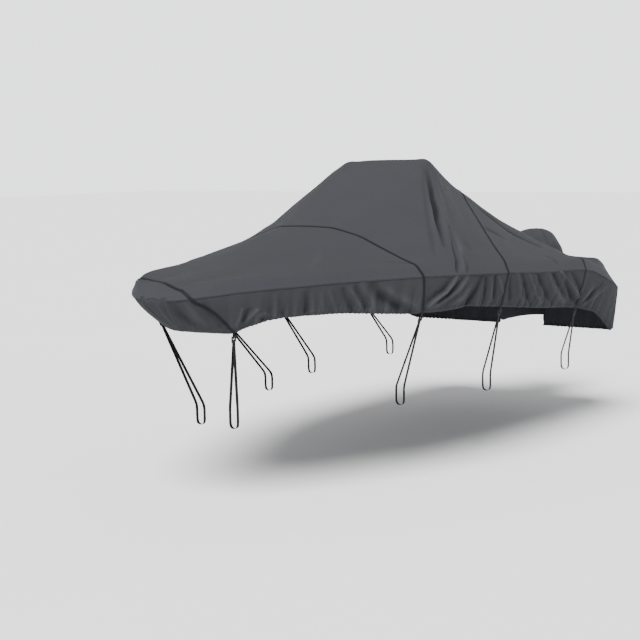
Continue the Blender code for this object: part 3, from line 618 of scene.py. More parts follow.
def seam_maps(grid, ridge_first):
    """The two UV maps of a top panel, in metres."""
    run = travel_along(grid, 0)
    across = travel_along(grid, 1)
    width = across[:, -1:]
    middle = grid.shape[1] // 2
    cloth = np.stack((np.repeat(run[:, middle:middle + 1], grid.shape[1], 1),
                      across - across[:, middle:middle + 1]), axis=2)
    from_rail = np.minimum(across, width - across)
    from_ridge = run if ridge_first else run[-1:] - run
    nearest = np.minimum(from_rail, from_ridge)
    along = np.where(from_rail < from_ridge, run[:, :1], across)
    return {"cloth": cloth, "seam": np.stack((nearest, along), axis=2)}


def top_piece(name, grid, up, crease, ridge_first, keep=None):
    """A panel with both its laps, mapped and given its thickness."""
    for side in (-1, 1):
        grid = lap_over(grid, side)
    up = np.concatenate((up[:, :1], up, up[:, -1:]), axis=1)
    crease = np.pad(crease, ((0, 0), (1, 1)), mode="edge")
    return thicken(cloth_piece(
        name, grid, seam_maps(grid, ridge_first), charcoal, up, crease, keep))


bow_sheet = top_piece("bow_sheet", bow_grid, bow_up, bow_crease, False)
centre_y = 0.25 * (stern_grid[1:, 1:] + stern_grid[:-1, 1:]
                   + stern_grid[1:, :-1] + stern_grid[:-1, :-1])[..., 1]
slit = (stern_rows[:-1, None] > HOOD_ROW - 0.02) & (np.abs(centre_y) < HOOD_HALF - 0.003)
stern_sheet = top_piece("stern_sheet", stern_grid, stern_up, stern_crease, True,
                        ~np.pad(slit, ((0, 0), (1, 1))))
for piece in (bow_sheet, stern_sheet):
    print(piece.name, "triangles", triangles(piece))

# %% [markdown]
# The skirt hangs from the rail to a hem drawn in by elastic. It is a strip that starts at
# the middle of the bow and ends at the hood. Its gathers are waves that run down it,
# of uneven pitch, and near the hem a finer ruffle is added, because the elastic takes up
# more cloth there. Each side has its own draw of waves, so they aren't mirror images.

# %% Edge and hem of the skirt
FINE = 12


def skirt_lines():
    """Edge and hem lines of the port skirt, bow to hood, and how far along they are."""
    centre, rail, hem_x = STATIONS[:, 0], STATIONS[:, 1], STATIONS[:, 2]
    last = len(STATIONS) - 1
    paths = (
        ([0] * (MIDDLE + 1), range(MIDDLE, -1, -1)),
        (range(last + 1), [0] * (last + 1)),
        ([last] * MIDDLE, range(0, MIDDLE)),
    )
    edges, hems = [], []
    for rows, columns in paths:
        rows, columns = np.array(rows), np.array(columns)
        edge = NET[rows, columns]
        beam = look_up(OUTLINE, rail[rows])
        share = np.abs(edge[:, 1]) / beam
        hem_y = -np.maximum(0.0, beam - look_up(INSET, rail[rows])) * share
        hem = place(np.stack((hem_x[rows], hem_y, look_up(HEM, hem_x[rows])), axis=1))
        at = np.linspace(0, len(rows) - 1, FINE * (len(rows) - 1) + 1)
        edges.append(curve_through(edge, at))
        hems.append(curve_through(hem, at))
    edge = np.concatenate([edges[0]] + [part[1:] for part in edges[1:]])
    hem = np.concatenate([hems[0]] + [part[1:] for part in hems[1:]])
    walked = np.linalg.norm(np.diff(edge, axis=0), axis=1)
    return edge, hem, np.concatenate(([0.0], np.cumsum(walked)))


EDGE, HEM_LINE, WALKED = skirt_lines()
print("edge of the skirt", round(float(WALKED[-1]), 3), "m a side")

# %% [markdown]
# The straps pull the hem down where they end, so folds fan out from those places, and
# between them the cloth is slack. They are placed like the folds of the top, and
# each side has its own, so the two sides aren't mirror images.

# %% Folds of the skirt
# width, then x, y, height and depth in mm of each point; crests are above 0
SIDE_FOLDS = (
    # fan above the fore strap's end
    (0.018, ((-2.37, -1.11, 1.49, 7), (-2.40, -1.10, 1.45, 12), (-2.45, -1.07, 1.39, 14),
             (-2.55, -1.04, 1.34, 13), (-2.61, -1.01, 1.30, 8))),
    (0.030, ((-2.43, -1.10, 1.48, -4), (-2.47, -1.07, 1.42, -9), (-2.55, -1.05, 1.38, -10),
             (-2.60, -1.03, 1.34, -6))),
    (0.020, ((-2.30, -1.11, 1.47, -7), (-2.37, -1.10, 1.42, -10), (-2.43, -1.07, 1.37, -9),
             (-2.52, -1.04, 1.33, -5))),
    (0.022, ((-2.25, -1.12, 1.47, 6), (-2.32, -1.09, 1.40, 11), (-2.42, -1.07, 1.35, 11),
             (-2.50, -1.04, 1.31, 8), (-2.59, -1.02, 1.29, 4))),
    (0.026, ((-2.16, -1.13, 1.43, 4), (-2.22, -1.10, 1.38, 9), (-2.27, -1.08, 1.33, 10),
             (-2.35, -1.07, 1.30, 6))),
    # between the fore and mid straps
    (0.034, ((-2.08, -1.15, 1.48, -6), (-2.10, -1.12, 1.39, -13), (-2.14, -1.10, 1.33, -13),
             (-2.19, -1.08, 1.28, -8))),
    (0.024, ((-2.03, -1.15, 1.46, -8), (-2.00, -1.13, 1.37, -11), (-1.97, -1.10, 1.28, -8))),
    (0.018, ((-1.97, -1.15, 1.45, 4), (-1.93, -1.13, 1.36, 7), (-1.90, -1.11, 1.28, 5))),
    (0.022, ((-1.91, -1.16, 1.46, -9), (-1.87, -1.14, 1.36, -12), (-1.83, -1.11, 1.27, -8))),
    (0.020, ((-1.87, -1.16, 1.45, 6), (-1.81, -1.14, 1.38, 10), (-1.76, -1.13, 1.33, 7))),
    # long pulls from the mid strap toward the stern strap's end
    (0.028, ((-1.69, -1.16, 1.43, -6), (-1.66, -1.15, 1.35, -12), (-1.62, -1.12, 1.27, -10))),
    (0.018, ((-1.60, -1.17, 1.46, 5), (-1.54, -1.15, 1.36, 12), (-1.47, -1.12, 1.27, 11),
             (-1.40, -1.11, 1.21, 5))),
    (0.022, ((-1.53, -1.18, 1.45, -6), (-1.43, -1.15, 1.35, -12), (-1.36, -1.13, 1.27, -13),
             (-1.27, -1.11, 1.19, -8))),
    (0.016, ((-1.45, -1.18, 1.46, 3), (-1.33, -1.15, 1.35, 8), (-1.22, -1.13, 1.25, 12),
             (-1.11, -1.11, 1.18, 8))),
    (0.027, ((-1.29, -1.18, 1.45, -7), (-1.18, -1.15, 1.35, -13), (-1.02, -1.12, 1.23, -11),
             (-0.90, -1.10, 1.16, -5))),
    (0.024, ((-1.13, -1.18, 1.44, 3), (-0.99, -1.14, 1.31, 9), (-0.82, -1.12, 1.20, 12),
             (-0.70, -1.10, 1.14, 6))),
    (0.019, ((-1.04, -1.18, 1.44, -9), (-0.96, -1.17, 1.37, -13), (-0.84, -1.14, 1.28, -9),
             (-0.70, -1.12, 1.19, -5))),
    (0.034, ((-0.83, -1.18, 1.40, -5), (-0.72, -1.14, 1.29, -12), (-0.58, -1.12, 1.19, -14),
             (-0.47, -1.10, 1.13, -8))),
    (0.020, ((-0.90, -1.18, 1.46, 5), (-0.90, -1.18, 1.42, 9), (-0.75, -1.15, 1.34, 12),
             (-0.58, -1.13, 1.24, 13), (-0.44, -1.11, 1.16, 9))),
    (0.026, ((-0.69, -1.17, 1.39, -6), (-0.50, -1.14, 1.27, -11), (-0.44, -1.13, 1.20, -8))),
    # aft of the stern strap
    (0.022, ((-0.19, -1.16, 1.28, 6), (-0.26, -1.12, 1.21, 10), (-0.36, -1.10, 1.14, 8))),
    (0.020, ((-0.08, -1.14, 1.25, -5), (-0.22, -1.12, 1.18, -9), (-0.32, -1.09, 1.12, -7))),
    (0.022, ((0.00, -1.14, 1.21, 5), (-0.15, -1.11, 1.15, 9), (-0.31, -1.09, 1.10, 6))),
    # forward of the fore strap
    (0.045, ((-3.09, -0.89, 1.48, -7), (-3.03, -0.90, 1.41, -13), (-2.89, -0.93, 1.34, -14),
             (-2.76, -0.97, 1.28, -8))),
    (0.040, ((-3.02, -0.92, 1.46, 5), (-2.88, -0.94, 1.38, 10), (-2.74, -0.99, 1.31, 7))),
    (0.028, ((-3.18, -0.86, 1.49, 3), (-3.09, -0.86, 1.39, 8), (-3.04, -0.87, 1.31, 6))),
    (0.024, ((-3.22, -0.84, 1.48, -5), (-3.18, -0.85, 1.41, -10), (-3.12, -0.85, 1.33, -8))),
    (0.018, ((-3.26, -0.82, 1.47, 4), (-3.24, -0.82, 1.44, 9), (-3.20, -0.83, 1.38, 10),
             (-3.13, -0.82, 1.31, 8))),
    (0.026, ((-3.31, -0.80, 1.47, -6), (-3.27, -0.79, 1.40, -10), (-3.21, -0.80, 1.32, -8))),
    (0.022, ((-3.41, -0.76, 1.46, 4), (-3.36, -0.75, 1.37, 8), (-3.33, -0.75, 1.32, 6))),
    (0.022, ((-3.47, -0.73, 1.45, 3), (-3.43, -0.72, 1.34, 6))),
    (0.022, ((-3.53, -0.70, 1.45, 3), (-3.50, -0.68, 1.34, 7))),
    (0.030, ((-3.57, -0.68, 1.46, -4), (-3.54, -0.66, 1.35, -8))),
    (0.024, ((-3.69, -0.61, 1.45, 3), (-3.66, -0.59, 1.33, 7))),
    (0.030, ((-3.73, -0.59, 1.46, -4), (-3.70, -0.57, 1.34, -9))),
    (0.022, ((-3.77, -0.58, 1.45, 3), (-3.74, -0.56, 1.33, 7))),
    # short fans at the bow strap's end, and a pinched loop of cloth beside them
    (0.017, ((-3.86, -0.49, 1.37, 7), (-3.89, -0.45, 1.31, 10), (-3.92, -0.42, 1.27, 6))),
    (0.016, ((-3.94, -0.44, 1.38, 6), (-3.94, -0.42, 1.32, 9), (-3.945, -0.39, 1.27, 6))),
    (0.018, ((-3.90, -0.46, 1.38, -5), (-3.915, -0.43, 1.31, -8))),
    (0.013, ((-3.84, -0.48, 1.29, 5), (-3.85, -0.49, 1.33, 7), (-3.80, -0.52, 1.345, 7),
             (-3.77, -0.53, 1.33, 5))),
    (0.015, ((-3.81, -0.50, 1.305, -9), (-3.80, -0.50, 1.31, -9))),
    # under the bow strap
    (0.040, ((-4.25, -0.13, 1.44, -4), (-4.18, -0.14, 1.37, -10), (-4.10, -0.16, 1.30, -9))),
    (0.034, ((-4.21, -0.20, 1.43, 4), (-4.14, -0.21, 1.36, 9), (-4.05, -0.23, 1.29, 7))),
    (0.030, ((-4.14, -0.29, 1.42, -4), (-4.08, -0.30, 1.36, -8), (-4.01, -0.31, 1.28, -6))),
)
# the same, for the starboard skirt: written as on port, and mirrored with its grid
FAR_FOLDS = (
    (0.026, ((-3.92, -0.46, 1.42, -4), (-3.86, -0.49, 1.35, -9), (-3.84, -0.49, 1.30, -6))),
    (0.030, ((-3.52, -0.70, 1.46, 4), (-3.44, -0.72, 1.38, 8), (-3.38, -0.74, 1.32, 6))),
    (0.034, ((-3.30, -0.80, 1.47, -5), (-3.16, -0.84, 1.40, -11), (-3.02, -0.88, 1.32, -8))),
    (0.022, ((-3.10, -0.89, 1.46, 5), (-2.96, -0.92, 1.38, 10), (-2.82, -0.96, 1.30, 7))),
    (0.020, ((-2.95, -0.95, 1.46, -6), (-2.84, -0.97, 1.38, -10), (-2.72, -1.00, 1.29, -6))),
    (0.024, ((-2.52, -1.08, 1.46, 6), (-2.58, -1.05, 1.37, 12), (-2.62, -1.02, 1.29, 8))),
    (0.026, ((-2.40, -1.10, 1.46, -6), (-2.48, -1.07, 1.38, -12), (-2.57, -1.04, 1.29, -8))),
    (0.020, ((-2.30, -1.11, 1.44, 5), (-2.39, -1.08, 1.36, 10), (-2.50, -1.05, 1.28, 6))),
    (0.036, ((-2.14, -1.14, 1.46, -6), (-2.06, -1.12, 1.37, -12), (-1.94, -1.10, 1.28, -9))),
    (0.022, ((-1.96, -1.15, 1.45, 5), (-1.88, -1.13, 1.36, 10), (-1.80, -1.11, 1.27, 7))),
    (0.030, ((-1.64, -1.16, 1.45, -8), (-1.56, -1.15, 1.35, -13), (-1.42, -1.12, 1.24, -9))),
    (0.022, ((-1.52, -1.17, 1.44, 6), (-1.40, -1.15, 1.33, 11), (-1.26, -1.12, 1.22, 8))),
    (0.040, ((-1.22, -1.18, 1.44, -6), (-1.02, -1.15, 1.32, -13), (-0.84, -1.12, 1.20, -9))),
    (0.026, ((-1.02, -1.18, 1.42, 5), (-0.86, -1.14, 1.30, 11), (-0.66, -1.12, 1.18, 7))),
    (0.030, ((-0.74, -1.17, 1.40, -7), (-0.60, -1.14, 1.28, -13), (-0.50, -1.12, 1.16, -8))),
    (0.024, ((-0.18, -1.15, 1.27, 6), (-0.28, -1.12, 1.20, 10), (-0.37, -1.10, 1.13, 7))),
    (0.024, ((-0.04, -1.14, 1.22, -5), (-0.18, -1.11, 1.15, -9), (-0.30, -1.09, 1.10, -6))),
)
SKIRT_COLUMNS = 1010
SKIRT_ROWS = 46
GATHER_TOP, GATHER_HEM = 0.0040, 0.0068
RUFFLE, RUFFLE_REACH = 0.0058, 0.035
HEM_TUCK = 0.014
SKIRT_SHARP = 0.84
NOSE_FULL, NOSE_REACH = 0.026, 0.55
# how far the bow strap's far end draws the starboard hem in; where along the edge; how wide
FAR_DRAW, FAR_DRAW_AT, FAR_DRAW_REACH = 0.110, 0.60, 0.30


def uneven_wave(walked, seed, pitch, wander):
    """A wave whose pitch wanders: the sine of a phase that grows at an uneven pace."""
    draw = np.random.default_rng(seed)
    pace = np.ones_like(walked)
    for _ in range(6):
        pace += wander / 6 ** 0.5 * np.sin(
            walked * 2 * math.pi / draw.uniform(0.35, 2.2) + draw.uniform(0, 6.28))
    phase = np.concatenate(([0.0], np.cumsum(0.5 * (pace[1:] + pace[:-1]) * np.diff(walked))))
    wave = np.sin(2 * math.pi * phase / pitch + draw.uniform(0, 6.28))
    return wave * (0.75 + 0.25 * np.sin(walked * 2 * math.pi / 0.9 + draw.uniform(0, 6.28)))


def skirt_sheet(name, seed, sign):
    """One skirt.  A point is edge * (1 - s) + hem * s for the share s down the strip,
    moved outward by gathers that grow with s, by a ruffle that fades 70 mm above the
    hem, by a fullness of sin(pi * s^0.8), most of it round the nose, and inward by the
    elastic's tuck.  The bow strap's far end draws the starboard hem further in."""
    at = np.linspace(0.0, WALKED[-1], SKIRT_COLUMNS)
    edge = np.stack([np.interp(at, WALKED, EDGE[:, k]) for k in range(3)], axis=1)
    hem = np.stack([np.interp(at, WALKED, HEM_LINE[:, k]) for k in range(3)], axis=1)
    run = np.gradient(edge, axis=0)
    out = np.stack((run[:, 1], -run[:, 0], 0 * run[:, 0]), axis=1)
    out /= np.linalg.norm(out, axis=1, keepdims=True)
    drop = np.linalg.norm(hem - edge, axis=1)[:, None]
    s = np.linspace(0.0, 1.0, SKIRT_ROWS)[None, :]
    top = edge - (0.0, 0.0, 0.0035)
    grid = top[:, None] * (1 - s[..., None]) + hem[:, None] * s[..., None]
    ends = np.clip(np.minimum(at, at[-1] - at) / 0.12, 0.0, 1.0)[:, None]
    above_hem = (1 - s) * drop
    large = uneven_wave(at, seed, 0.155, 0.35)[:, None]
    small = uneven_wave(at, seed + 1, 0.062, 0.30)[:, None]
    ruffle = uneven_wave(at, seed + 2, 0.030, 0.25)[:, None]
    push = (GATHER_TOP + (GATHER_HEM - GATHER_TOP) * s) * np.sin(np.pi * (0.5 * s ** 0.7)) * large
    push = push + 0.5 * GATHER_HEM * s ** 2 * small
    push = push + RUFFLE * np.exp(-(above_hem / RUFFLE_REACH) ** 2) * ruffle
    table = SIDE_FOLDS if sign < 0 else FAR_FOLDS
    # crease: the gathers and folds, which the cloth material also turns into painted shade in
    # troughs and painted light on crests
    crease = push * ends + all_folds(grid, table, SKIRT_SHARP)
    nose = np.exp(-(at / NOSE_REACH) ** 2)[:, None]
    push = crease + (0.006 + NOSE_FULL * nose) * np.sin(np.pi * s ** 0.8)
    if sign > 0:
        drawn = np.exp(-((at[:, None] - FAR_DRAW_AT) / FAR_DRAW_REACH) ** 2)
        push = push - FAR_DRAW * drawn * s ** 1.4
    push = push - HEM_TUCK * np.exp(-(above_hem / 0.014) ** 2)
    push = push + 0.004 * np.exp(-((above_hem - 0.016) / 0.008) ** 2)
    push = push * np.clip(s / 0.05, 0.0, 1.0)
    grid = grid + out[:, None] * push[..., None]
    grid[..., 2] += 0.5 * RUFFLE * np.exp(-(above_hem / 0.030) ** 2) * ruffle * ends
    grid[0, :, 1] = 0.0
    grid[-1, :, 1] = -HOOD_HALF - 0.0005
    maps = {"cloth": np.stack((np.repeat(at[:, None], SKIRT_ROWS, 1), s * drop), axis=2),
            "seam": np.stack((above_hem - 0.016, np.repeat(at[:, None], SKIRT_ROWS, 1)), axis=2)}
    side = (1.0, -sign, 1.0)
    outward = np.repeat(out[:, None], SKIRT_ROWS, 1) * side
    piece = thicken(cloth_piece(name, grid * side, maps, charcoal, outward, crease))
    return piece, grid * side, float((drop.mean() + 0.03))


skirt_port_sheet, port_grid, skirt_deep = skirt_sheet("skirt_port_sheet", 11, -1.0)
skirt_star_sheet, star_grid, _ = skirt_sheet("skirt_starboard_sheet", 29, 1.0)
print("skirt triangles", triangles(skirt_port_sheet), "depth", round(skirt_deep, 3))

# %% [markdown]
# The hood is a soft box over what stands at the stern, cut with its own crown. Rings of
# points go round it, from its foot up to its peak, and the same curve is drawn through
# them. Its crown is slack, so a few shallow folds run down from the peak.

# %% Hood
# x, share of the half width, foot height, shoulder height; half of the outline
HOOD_OUTLINE = np.array((
    (0.450, 0.00, 1.372, 1.410), (0.450, 0.60, 1.372, 1.410),
    (0.450, 1.00, 1.370, 1.405), (0.540, 1.00, 1.288, 1.430),
    (0.610, 1.00, 1.210, 1.450), (0.650, 1.00, 1.158, 1.465),
    (0.656, 1.00, 1.150, 1.467), (0.659, 1.00, 0.790, 1.468),
    (0.780, 1.00, 0.790, 1.500), (0.890, 1.00, 0.790, 1.515),
    (0.975, 0.985, 0.790, 1.497), (1.055, 0.93, 0.790, 1.458),
    (1.120, 0.83, 0.790, 1.430), (1.170, 0.67, 0.790, 1.414),
    (1.200, 0.46, 0.790, 1.410), (1.213, 0.22, 0.790, 1.408),
    (1.216, 0.00, 0.790, 1.408),
))
# share of the shoulder height and inward scale of each ring; then rise and scale of the cap
HOOD_RINGS = ((0.00, 1.000), (0.30, 1.000), (0.65, 0.998), (0.88, 0.985), (1.00, 0.945))
HOOD_CAP = ((0.42, 0.78), (0.78, 0.57), (0.95, 0.30))
HOOD_PEAK = (0.922, 1.645)
# turn in degrees from aft, toward port negative; depth in mm; half width in degrees
HOOD_FOLDS = ((-20, -5, 9), (-62, -9, 7), (-95, 6, 8), (-128, -7, 7), (-160, -4, 10),
              (38, -6, 9), (84, -8, 8), (120, 5, 9), (158, -5, 8))


def hood_net():
    """Rings of the hood from its foot to its peak, closed round the middle of the bow side."""
    x, share, foot, shoulder = HOOD_OUTLINE.T
    port = np.stack((x, -share * HOOD_HALF, foot, shoulder), axis=1)
    outline = np.concatenate((port, port[-2:0:-1] * (1, -1, 1, 1), port[:1]))
    peak = np.array((HOOD_PEAK[0], 0.0))
    rings = []
    for share, scale in HOOD_RINGS:
        plan = peak + (outline[:, :2] - peak) * (scale if share else 1.0)
        rings.append(np.column_stack((plan, outline[:, 2] * (1 - share) + outline[:, 3] * share)))
    for rise, scale in HOOD_CAP:
        plan = peak + (outline[:, :2] - peak) * scale
        rings.append(np.column_stack((plan, outline[:, 3] * (1 - rise) + HOOD_PEAK[1] * rise)))
    rings.append(np.repeat([(HOOD_PEAK[0], 0.0, HOOD_PEAK[1])], len(outline), 0))
    return place(rings)


def hood_sheet():
    """The hood's rings drawn finer; folds are bells round it by the turn from the peak,
    strongest on the crown."""
    net = hood_net()
    rows_at = spread(net, 96)
    columns_at = spread(net.swapaxes(0, 1), 300)
    grid = refine(net, rows_at, columns_at)
    centre = place((HOOD_PEAK[0], 0.0, 1.20))
    away = grid - centre
    turn = np.degrees(np.arctan2(away[..., 1], away[..., 0]))
    up = normals_of(grid)
    up[:, 0] = up[:, -1] = 0.5 * (up[:, 0] + up[:, -1])
    up *= np.sign(np.sum(up * away, axis=2, keepdims=True))
    up[-1] = (0.0, 0.0, 1.0)
    level = (np.arange(len(rows_at)) / (len(rows_at) - 1))[:, None]
    crown = np.exp(-((level - 0.70) / 0.26) ** 2) * np.clip((1 - level) / 0.12, 0, 1)
    push = np.zeros(grid.shape[:2])
    for angle, depth, half in HOOD_FOLDS:
        off = (turn - angle + 180) % 360 - 180
        push += depth / 1000.0 * np.exp(-(off / half) ** 2) * crown
    # crease: the hood's folds, which the cloth material also turns into painted shade in troughs
    # and painted light on crests
    crease = push.copy()
    slack = np.clip(level / 0.2, 0, 1) * np.clip((1 - level) / 0.1, 0, 1)
    push += swells(grid, 8, 0.22, 0.0025) * slack
    grid = grid + up * push[..., None]
    grid[:, -1] = grid[:, 0]
    round_it = travel_along(grid, 1)
    rise = travel_along(grid, 0)
    maps = {"cloth": np.stack((rise, round_it), axis=2),
            "seam": np.stack((rise, round_it), axis=2)}
    piece = cloth_piece("hood_sheet", grid, maps, charcoal, away, crease)
    bpy.context.view_layer.objects.active = piece
    weld = piece.modifiers.new("closed", "WELD")
    weld.merge_threshold = 0.00002
    return thicken(piece), grid


hood, hood_grid = hood_sheet()
print("hood triangles", triangles(hood))

# %% [markdown]
# Webbing is flat woven tape. It is drawn as a profile, a flat oval, carried along a line
# that lies on the cloth: the line is dropped on the nearest place of the finished sheets,
# and rays lift it where the cloth would come through. Its finish is a diagonal weave on its
# own map.

# %% Webbing
WEB_WIDE, WEB_THICK = 0.0220, 0.0020
WEB_LIFT = 0.0008
WEB_SLOPE = 0.0030
# name, step of the line, then the way over the cloth from port hem to starboard hem
STRAPS = (
    ("bow", 0.012, (-3.710, 0.150), (
        (-3.948, -0.370, 1.230), (-4.000, -0.345, 1.290), (-4.080, -0.325, 1.370),
        (-4.130, -0.285, 1.420), (-4.185, -0.250, 1.460), (-4.222, -0.205, 1.485),
        (-4.228, -0.140, 1.520), (-4.212, -0.060, 1.540), (-4.165, 0.050, 1.555),
        (-4.100, 0.170, 1.565), (-4.080, 0.250, 1.555), (-4.080, 0.310, 1.540),
        (-4.055, 0.360, 1.522), (-4.010, 0.425, 1.497), (-3.965, 0.438, 1.400),
        (-3.930, 0.425, 1.300), (-3.915, 0.415, 1.250))),
    ("fore", 0.016, (-2.370, 0.620), (
        (-2.645, -0.995, 1.257), (-2.680, -1.030, 1.430), (-2.695, -1.038, 1.520),
        (-2.695, -0.980, 1.597), (-2.680, -0.830, 1.655), (-2.660, -0.650, 1.725),
        (-2.650, -0.480, 1.780), (-2.665, -0.310, 1.832), (-2.680, 0.000, 1.852),
        (-2.670, 0.180, 1.850), (-2.620, 0.360, 1.830), (-2.600, 0.600, 1.750),
        (-2.640, 0.850, 1.650), (-2.685, 0.990, 1.590), (-2.700, 1.040, 1.522),
        (-2.685, 1.035, 1.450), (-2.645, 0.995, 1.257))),
    ("mid", 0.016, (-1.500, 0.850), (
        (-1.725, -1.105, 1.222), (-1.735, -1.160, 1.400), (-1.735, -1.175, 1.480),
        (-1.690, -1.130, 1.540), (-1.610, -1.010, 1.620), (-1.500, -0.850, 1.730),
        (-1.430, -0.750, 1.800), (-1.350, -0.640, 1.880), (-1.250, -0.510, 1.990),
        (-1.160, -0.420, 2.060), (-1.080, -0.300, 2.045), (-1.050, 0.000, 2.034),
        (-1.060, 0.300, 2.040), (-1.130, 0.450, 2.010), (-1.385, 0.760, 1.786),
        (-1.680, 1.110, 1.555), (-1.740, 1.175, 1.480), (-1.735, 1.160, 1.400),
        (-1.725, 1.105, 1.222))),
    ("stern", 0.016, (-0.250, 0.890), (
        (-0.450, -1.090, 1.082), (-0.450, -1.160, 1.300), (-0.450, -1.180, 1.405),
        (-0.400, -1.115, 1.470), (-0.150, -0.980, 1.500), (-0.060, -0.800, 1.492),
        (-0.060, 0.000, 1.492), (-0.060, 0.800, 1.492), (-0.150, 0.980, 1.500),
        (-0.400, 1.115, 1.470), (-0.450, 1.180, 1.405), (-0.450, 1.160, 1.300),
        (-0.450, 1.090, 1.082))),
)


def webbing_look():
    """Black woven tape: fine slanted ribs on its own map, a little lint in its colour."""
    look, tree, shader = blank_look("black_webbing")
    along = add_node(tree, "ShaderNodeUVMap", uv_map="tape").outputs["UV"]
    turned = add_node(tree, "ShaderNodeMapping", {
        "Vector": along, "Rotation": (0.0, 0.0, math.radians(38))}).outputs[0]
    ribs = woven(tree, turned, WEB_SLOPE)
    lint = add_node(tree, "ShaderNodeTexNoise", {
        "Vector": along, "Scale": 120.0, "Detail": 4.0}).outputs["Fac"]
    colour = add_node(tree, "ShaderNodeMix", {
        0: lint, 6: (0.004, 0.004, 0.006, 1.0), 7: (0.010, 0.010, 0.013, 1.0)}, data_type="RGBA")
    tree.links.new(colour.outputs[2], shader.inputs["Base Color"])
    shader.inputs["Specular IOR Level"].default_value = 0.12
    rough = add_node(tree, "ShaderNodeMapRange", {0: lint, 3: 0.62, 4: 0.82}).outputs[0]
    tree.links.new(rough, shader.inputs["Roughness"])
    bump = add_node(tree, "ShaderNodeBump", {"Height": ribs, "Strength": 0.6, "Distance": 0.0005})
    tree.links.new(bump.outputs[0], shader.inputs["Normal"])
    return look


black_webbing = webbing_look()


def unit_rows(vectors):
    """Each vector at length one."""
    return vectors / np.maximum(np.linalg.norm(vectors, axis=-1, keepdims=True), 1e-9)


def even_line(points, step):
    """The same line with evenly spaced points."""
    points = np.asarray(points, float)
    walked = np.concatenate(([0.0], np.cumsum(np.linalg.norm(np.diff(points, axis=0), axis=1))))
    wanted = np.linspace(0.0, walked[-1], max(3, int(round(walked[-1] / step)) + 1))
    return np.stack([np.interp(wanted, walked, points[:, k]) for k in range(3)], axis=1)


def eased(points, times):
    """Each point moved halfway to the middle of its neighbours, a few times, ends kept."""
    points = points.copy()
    for _ in range(times):
        points[1:-1] = 0.5 * points[1:-1] + 0.25 * (points[:-2] + points[2:])
    return points


def tape(name, line, normals, look=black_webbing, thick=WEB_THICK, broad=WEB_WIDE):
    """Webbing along a line: a flat oval of twelve points carried along it, with its
    underside on the line and its face along the normals; closed at both ends."""
    turn = np.linspace(0, 2 * math.pi, 12, endpoint=False) + math.pi / 12
    wide = np.sign(np.cos(turn)) * np.abs(np.cos(turn)) ** 0.22 * broad / 2
    tall = (np.sign(np.sin(turn)) * np.abs(np.sin(turn)) ** 0.55 + 1) * thick / 2
    across = unit_rows(np.cross(np.gradient(line, axis=0), normals))
    up = unit_rows(np.cross(across, np.gradient(line, axis=0)))
    up *= np.sign(np.sum(up * normals, axis=1, keepdims=True))
    grid = line[:, None] + across[:, None] * wide[None, :, None] + up[:, None] * tall[None, :, None]
    rows, columns = grid.shape[:2]
    index = np.arange(rows * columns).reshape(rows, columns)
    ahead = np.roll(index, -1, axis=1)
    quads = np.stack((index[:-1], ahead[:-1], ahead[1:], index[1:]), axis=-1).reshape(-1, 4)
    faces = quads.tolist() + [index[0, ::-1].tolist(), index[-1].tolist()]
    mesh = bpy.data.meshes.new(name)
    mesh.from_pydata(grid.reshape(-1, 3).tolist(), [], faces)
    walked = np.concatenate(([0.0], np.cumsum(np.linalg.norm(np.diff(line, axis=0), axis=1))))
    place_on = np.stack((np.repeat(walked, columns), np.tile(wide, rows)), axis=1)
    corners = np.empty(len(mesh.loops), int)
    mesh.loops.foreach_get("vertex_index", corners)
    mesh.uv_layers.new(name="tape").data.foreach_set("uv", place_on[corners].ravel())
    mesh.polygons.foreach_set("use_smooth", np.ones(len(faces), bool))
    mesh.materials.append(look)
    made = bpy.data.objects.new(name, mesh)
    bpy.context.scene.collection.objects.link(made)
    face = np.cross(grid[1, 1] - grid[0, 1], grid[0, 2] - grid[0, 1])
    if np.dot(face, grid[0, 1] - line[0] - 0.5 * thick * up[0]) > 0:
        mesh.flip_normals()
    return made


def cloth_tree():
    """A tree of the outer faces of the top panels and skirts, to lay the webbing on."""
    points, faces, base = [], [], 0
    for piece in (bow_sheet, stern_sheet, skirt_port_sheet, skirt_star_sheet):
        mesh = piece.data
        spots = np.empty(len(mesh.vertices) * 3)
        mesh.vertices.foreach_get("co", spots)
        corners = np.empty(len(mesh.loops), int)
        mesh.loops.foreach_get("vertex_index", corners)
        points.append(spots.reshape(-1, 3))
        faces.append(corners.reshape(-1, 4) + base)
        base += len(mesh.vertices)
    return BVHTree.FromPolygons(np.concatenate(points).tolist(), np.concatenate(faces).tolist())


CLOTH = cloth_tree()


def laid_on_cloth(way, step):
    """The way dropped on the cloth.  Rays go in at five places across each point of the
    tape, and the point rises by the most that any of them finds above it."""
    line = eased(even_line(place(way), step), 2)
    found = [CLOTH.find_nearest(Vector(spot)) for spot in line]
    line = np.array([tuple(hit[0]) for hit in found])
    normals = np.array([tuple(hit[1]) for hit in found])
    level = np.zeros(len(line))
    inside = np.stack((np.clip(line[:, 0], -2.0, 1.8), level, level - 1.2), axis=1)
    normals *= np.sign(np.sum(normals * (line - inside), axis=1, keepdims=True))
    normals = unit_rows(eased(normals, 8))
    line = eased(line, 4)
    for _ in range(4):
        across = unit_rows(np.cross(np.gradient(line, axis=0), normals))
        rise = np.zeros(len(line))
        for reach in (-0.5, -0.25, 0.0, 0.25, 0.5):
            for share in (0.0, 0.5):
                shift = share * np.concatenate((np.diff(line, axis=0), np.zeros((1, 3))))
                start = line + shift + across * reach * WEB_WIDE + normals * 0.06
                hits = [CLOTH.ray_cast(Vector(a), Vector(-b), 0.12)
                        for a, b in zip(start, normals)]
                high = np.array([0.06 - hit[3] if hit[0] is not None else -1.0 for hit in hits])
                rise = np.maximum(rise, high)
                rise[1:] = np.maximum(rise[1:], high[:-1] if share else 0.0)
        line = line + normals * np.maximum(rise, 0.0)[:, None]
    return line + normals * WEB_LIFT, normals


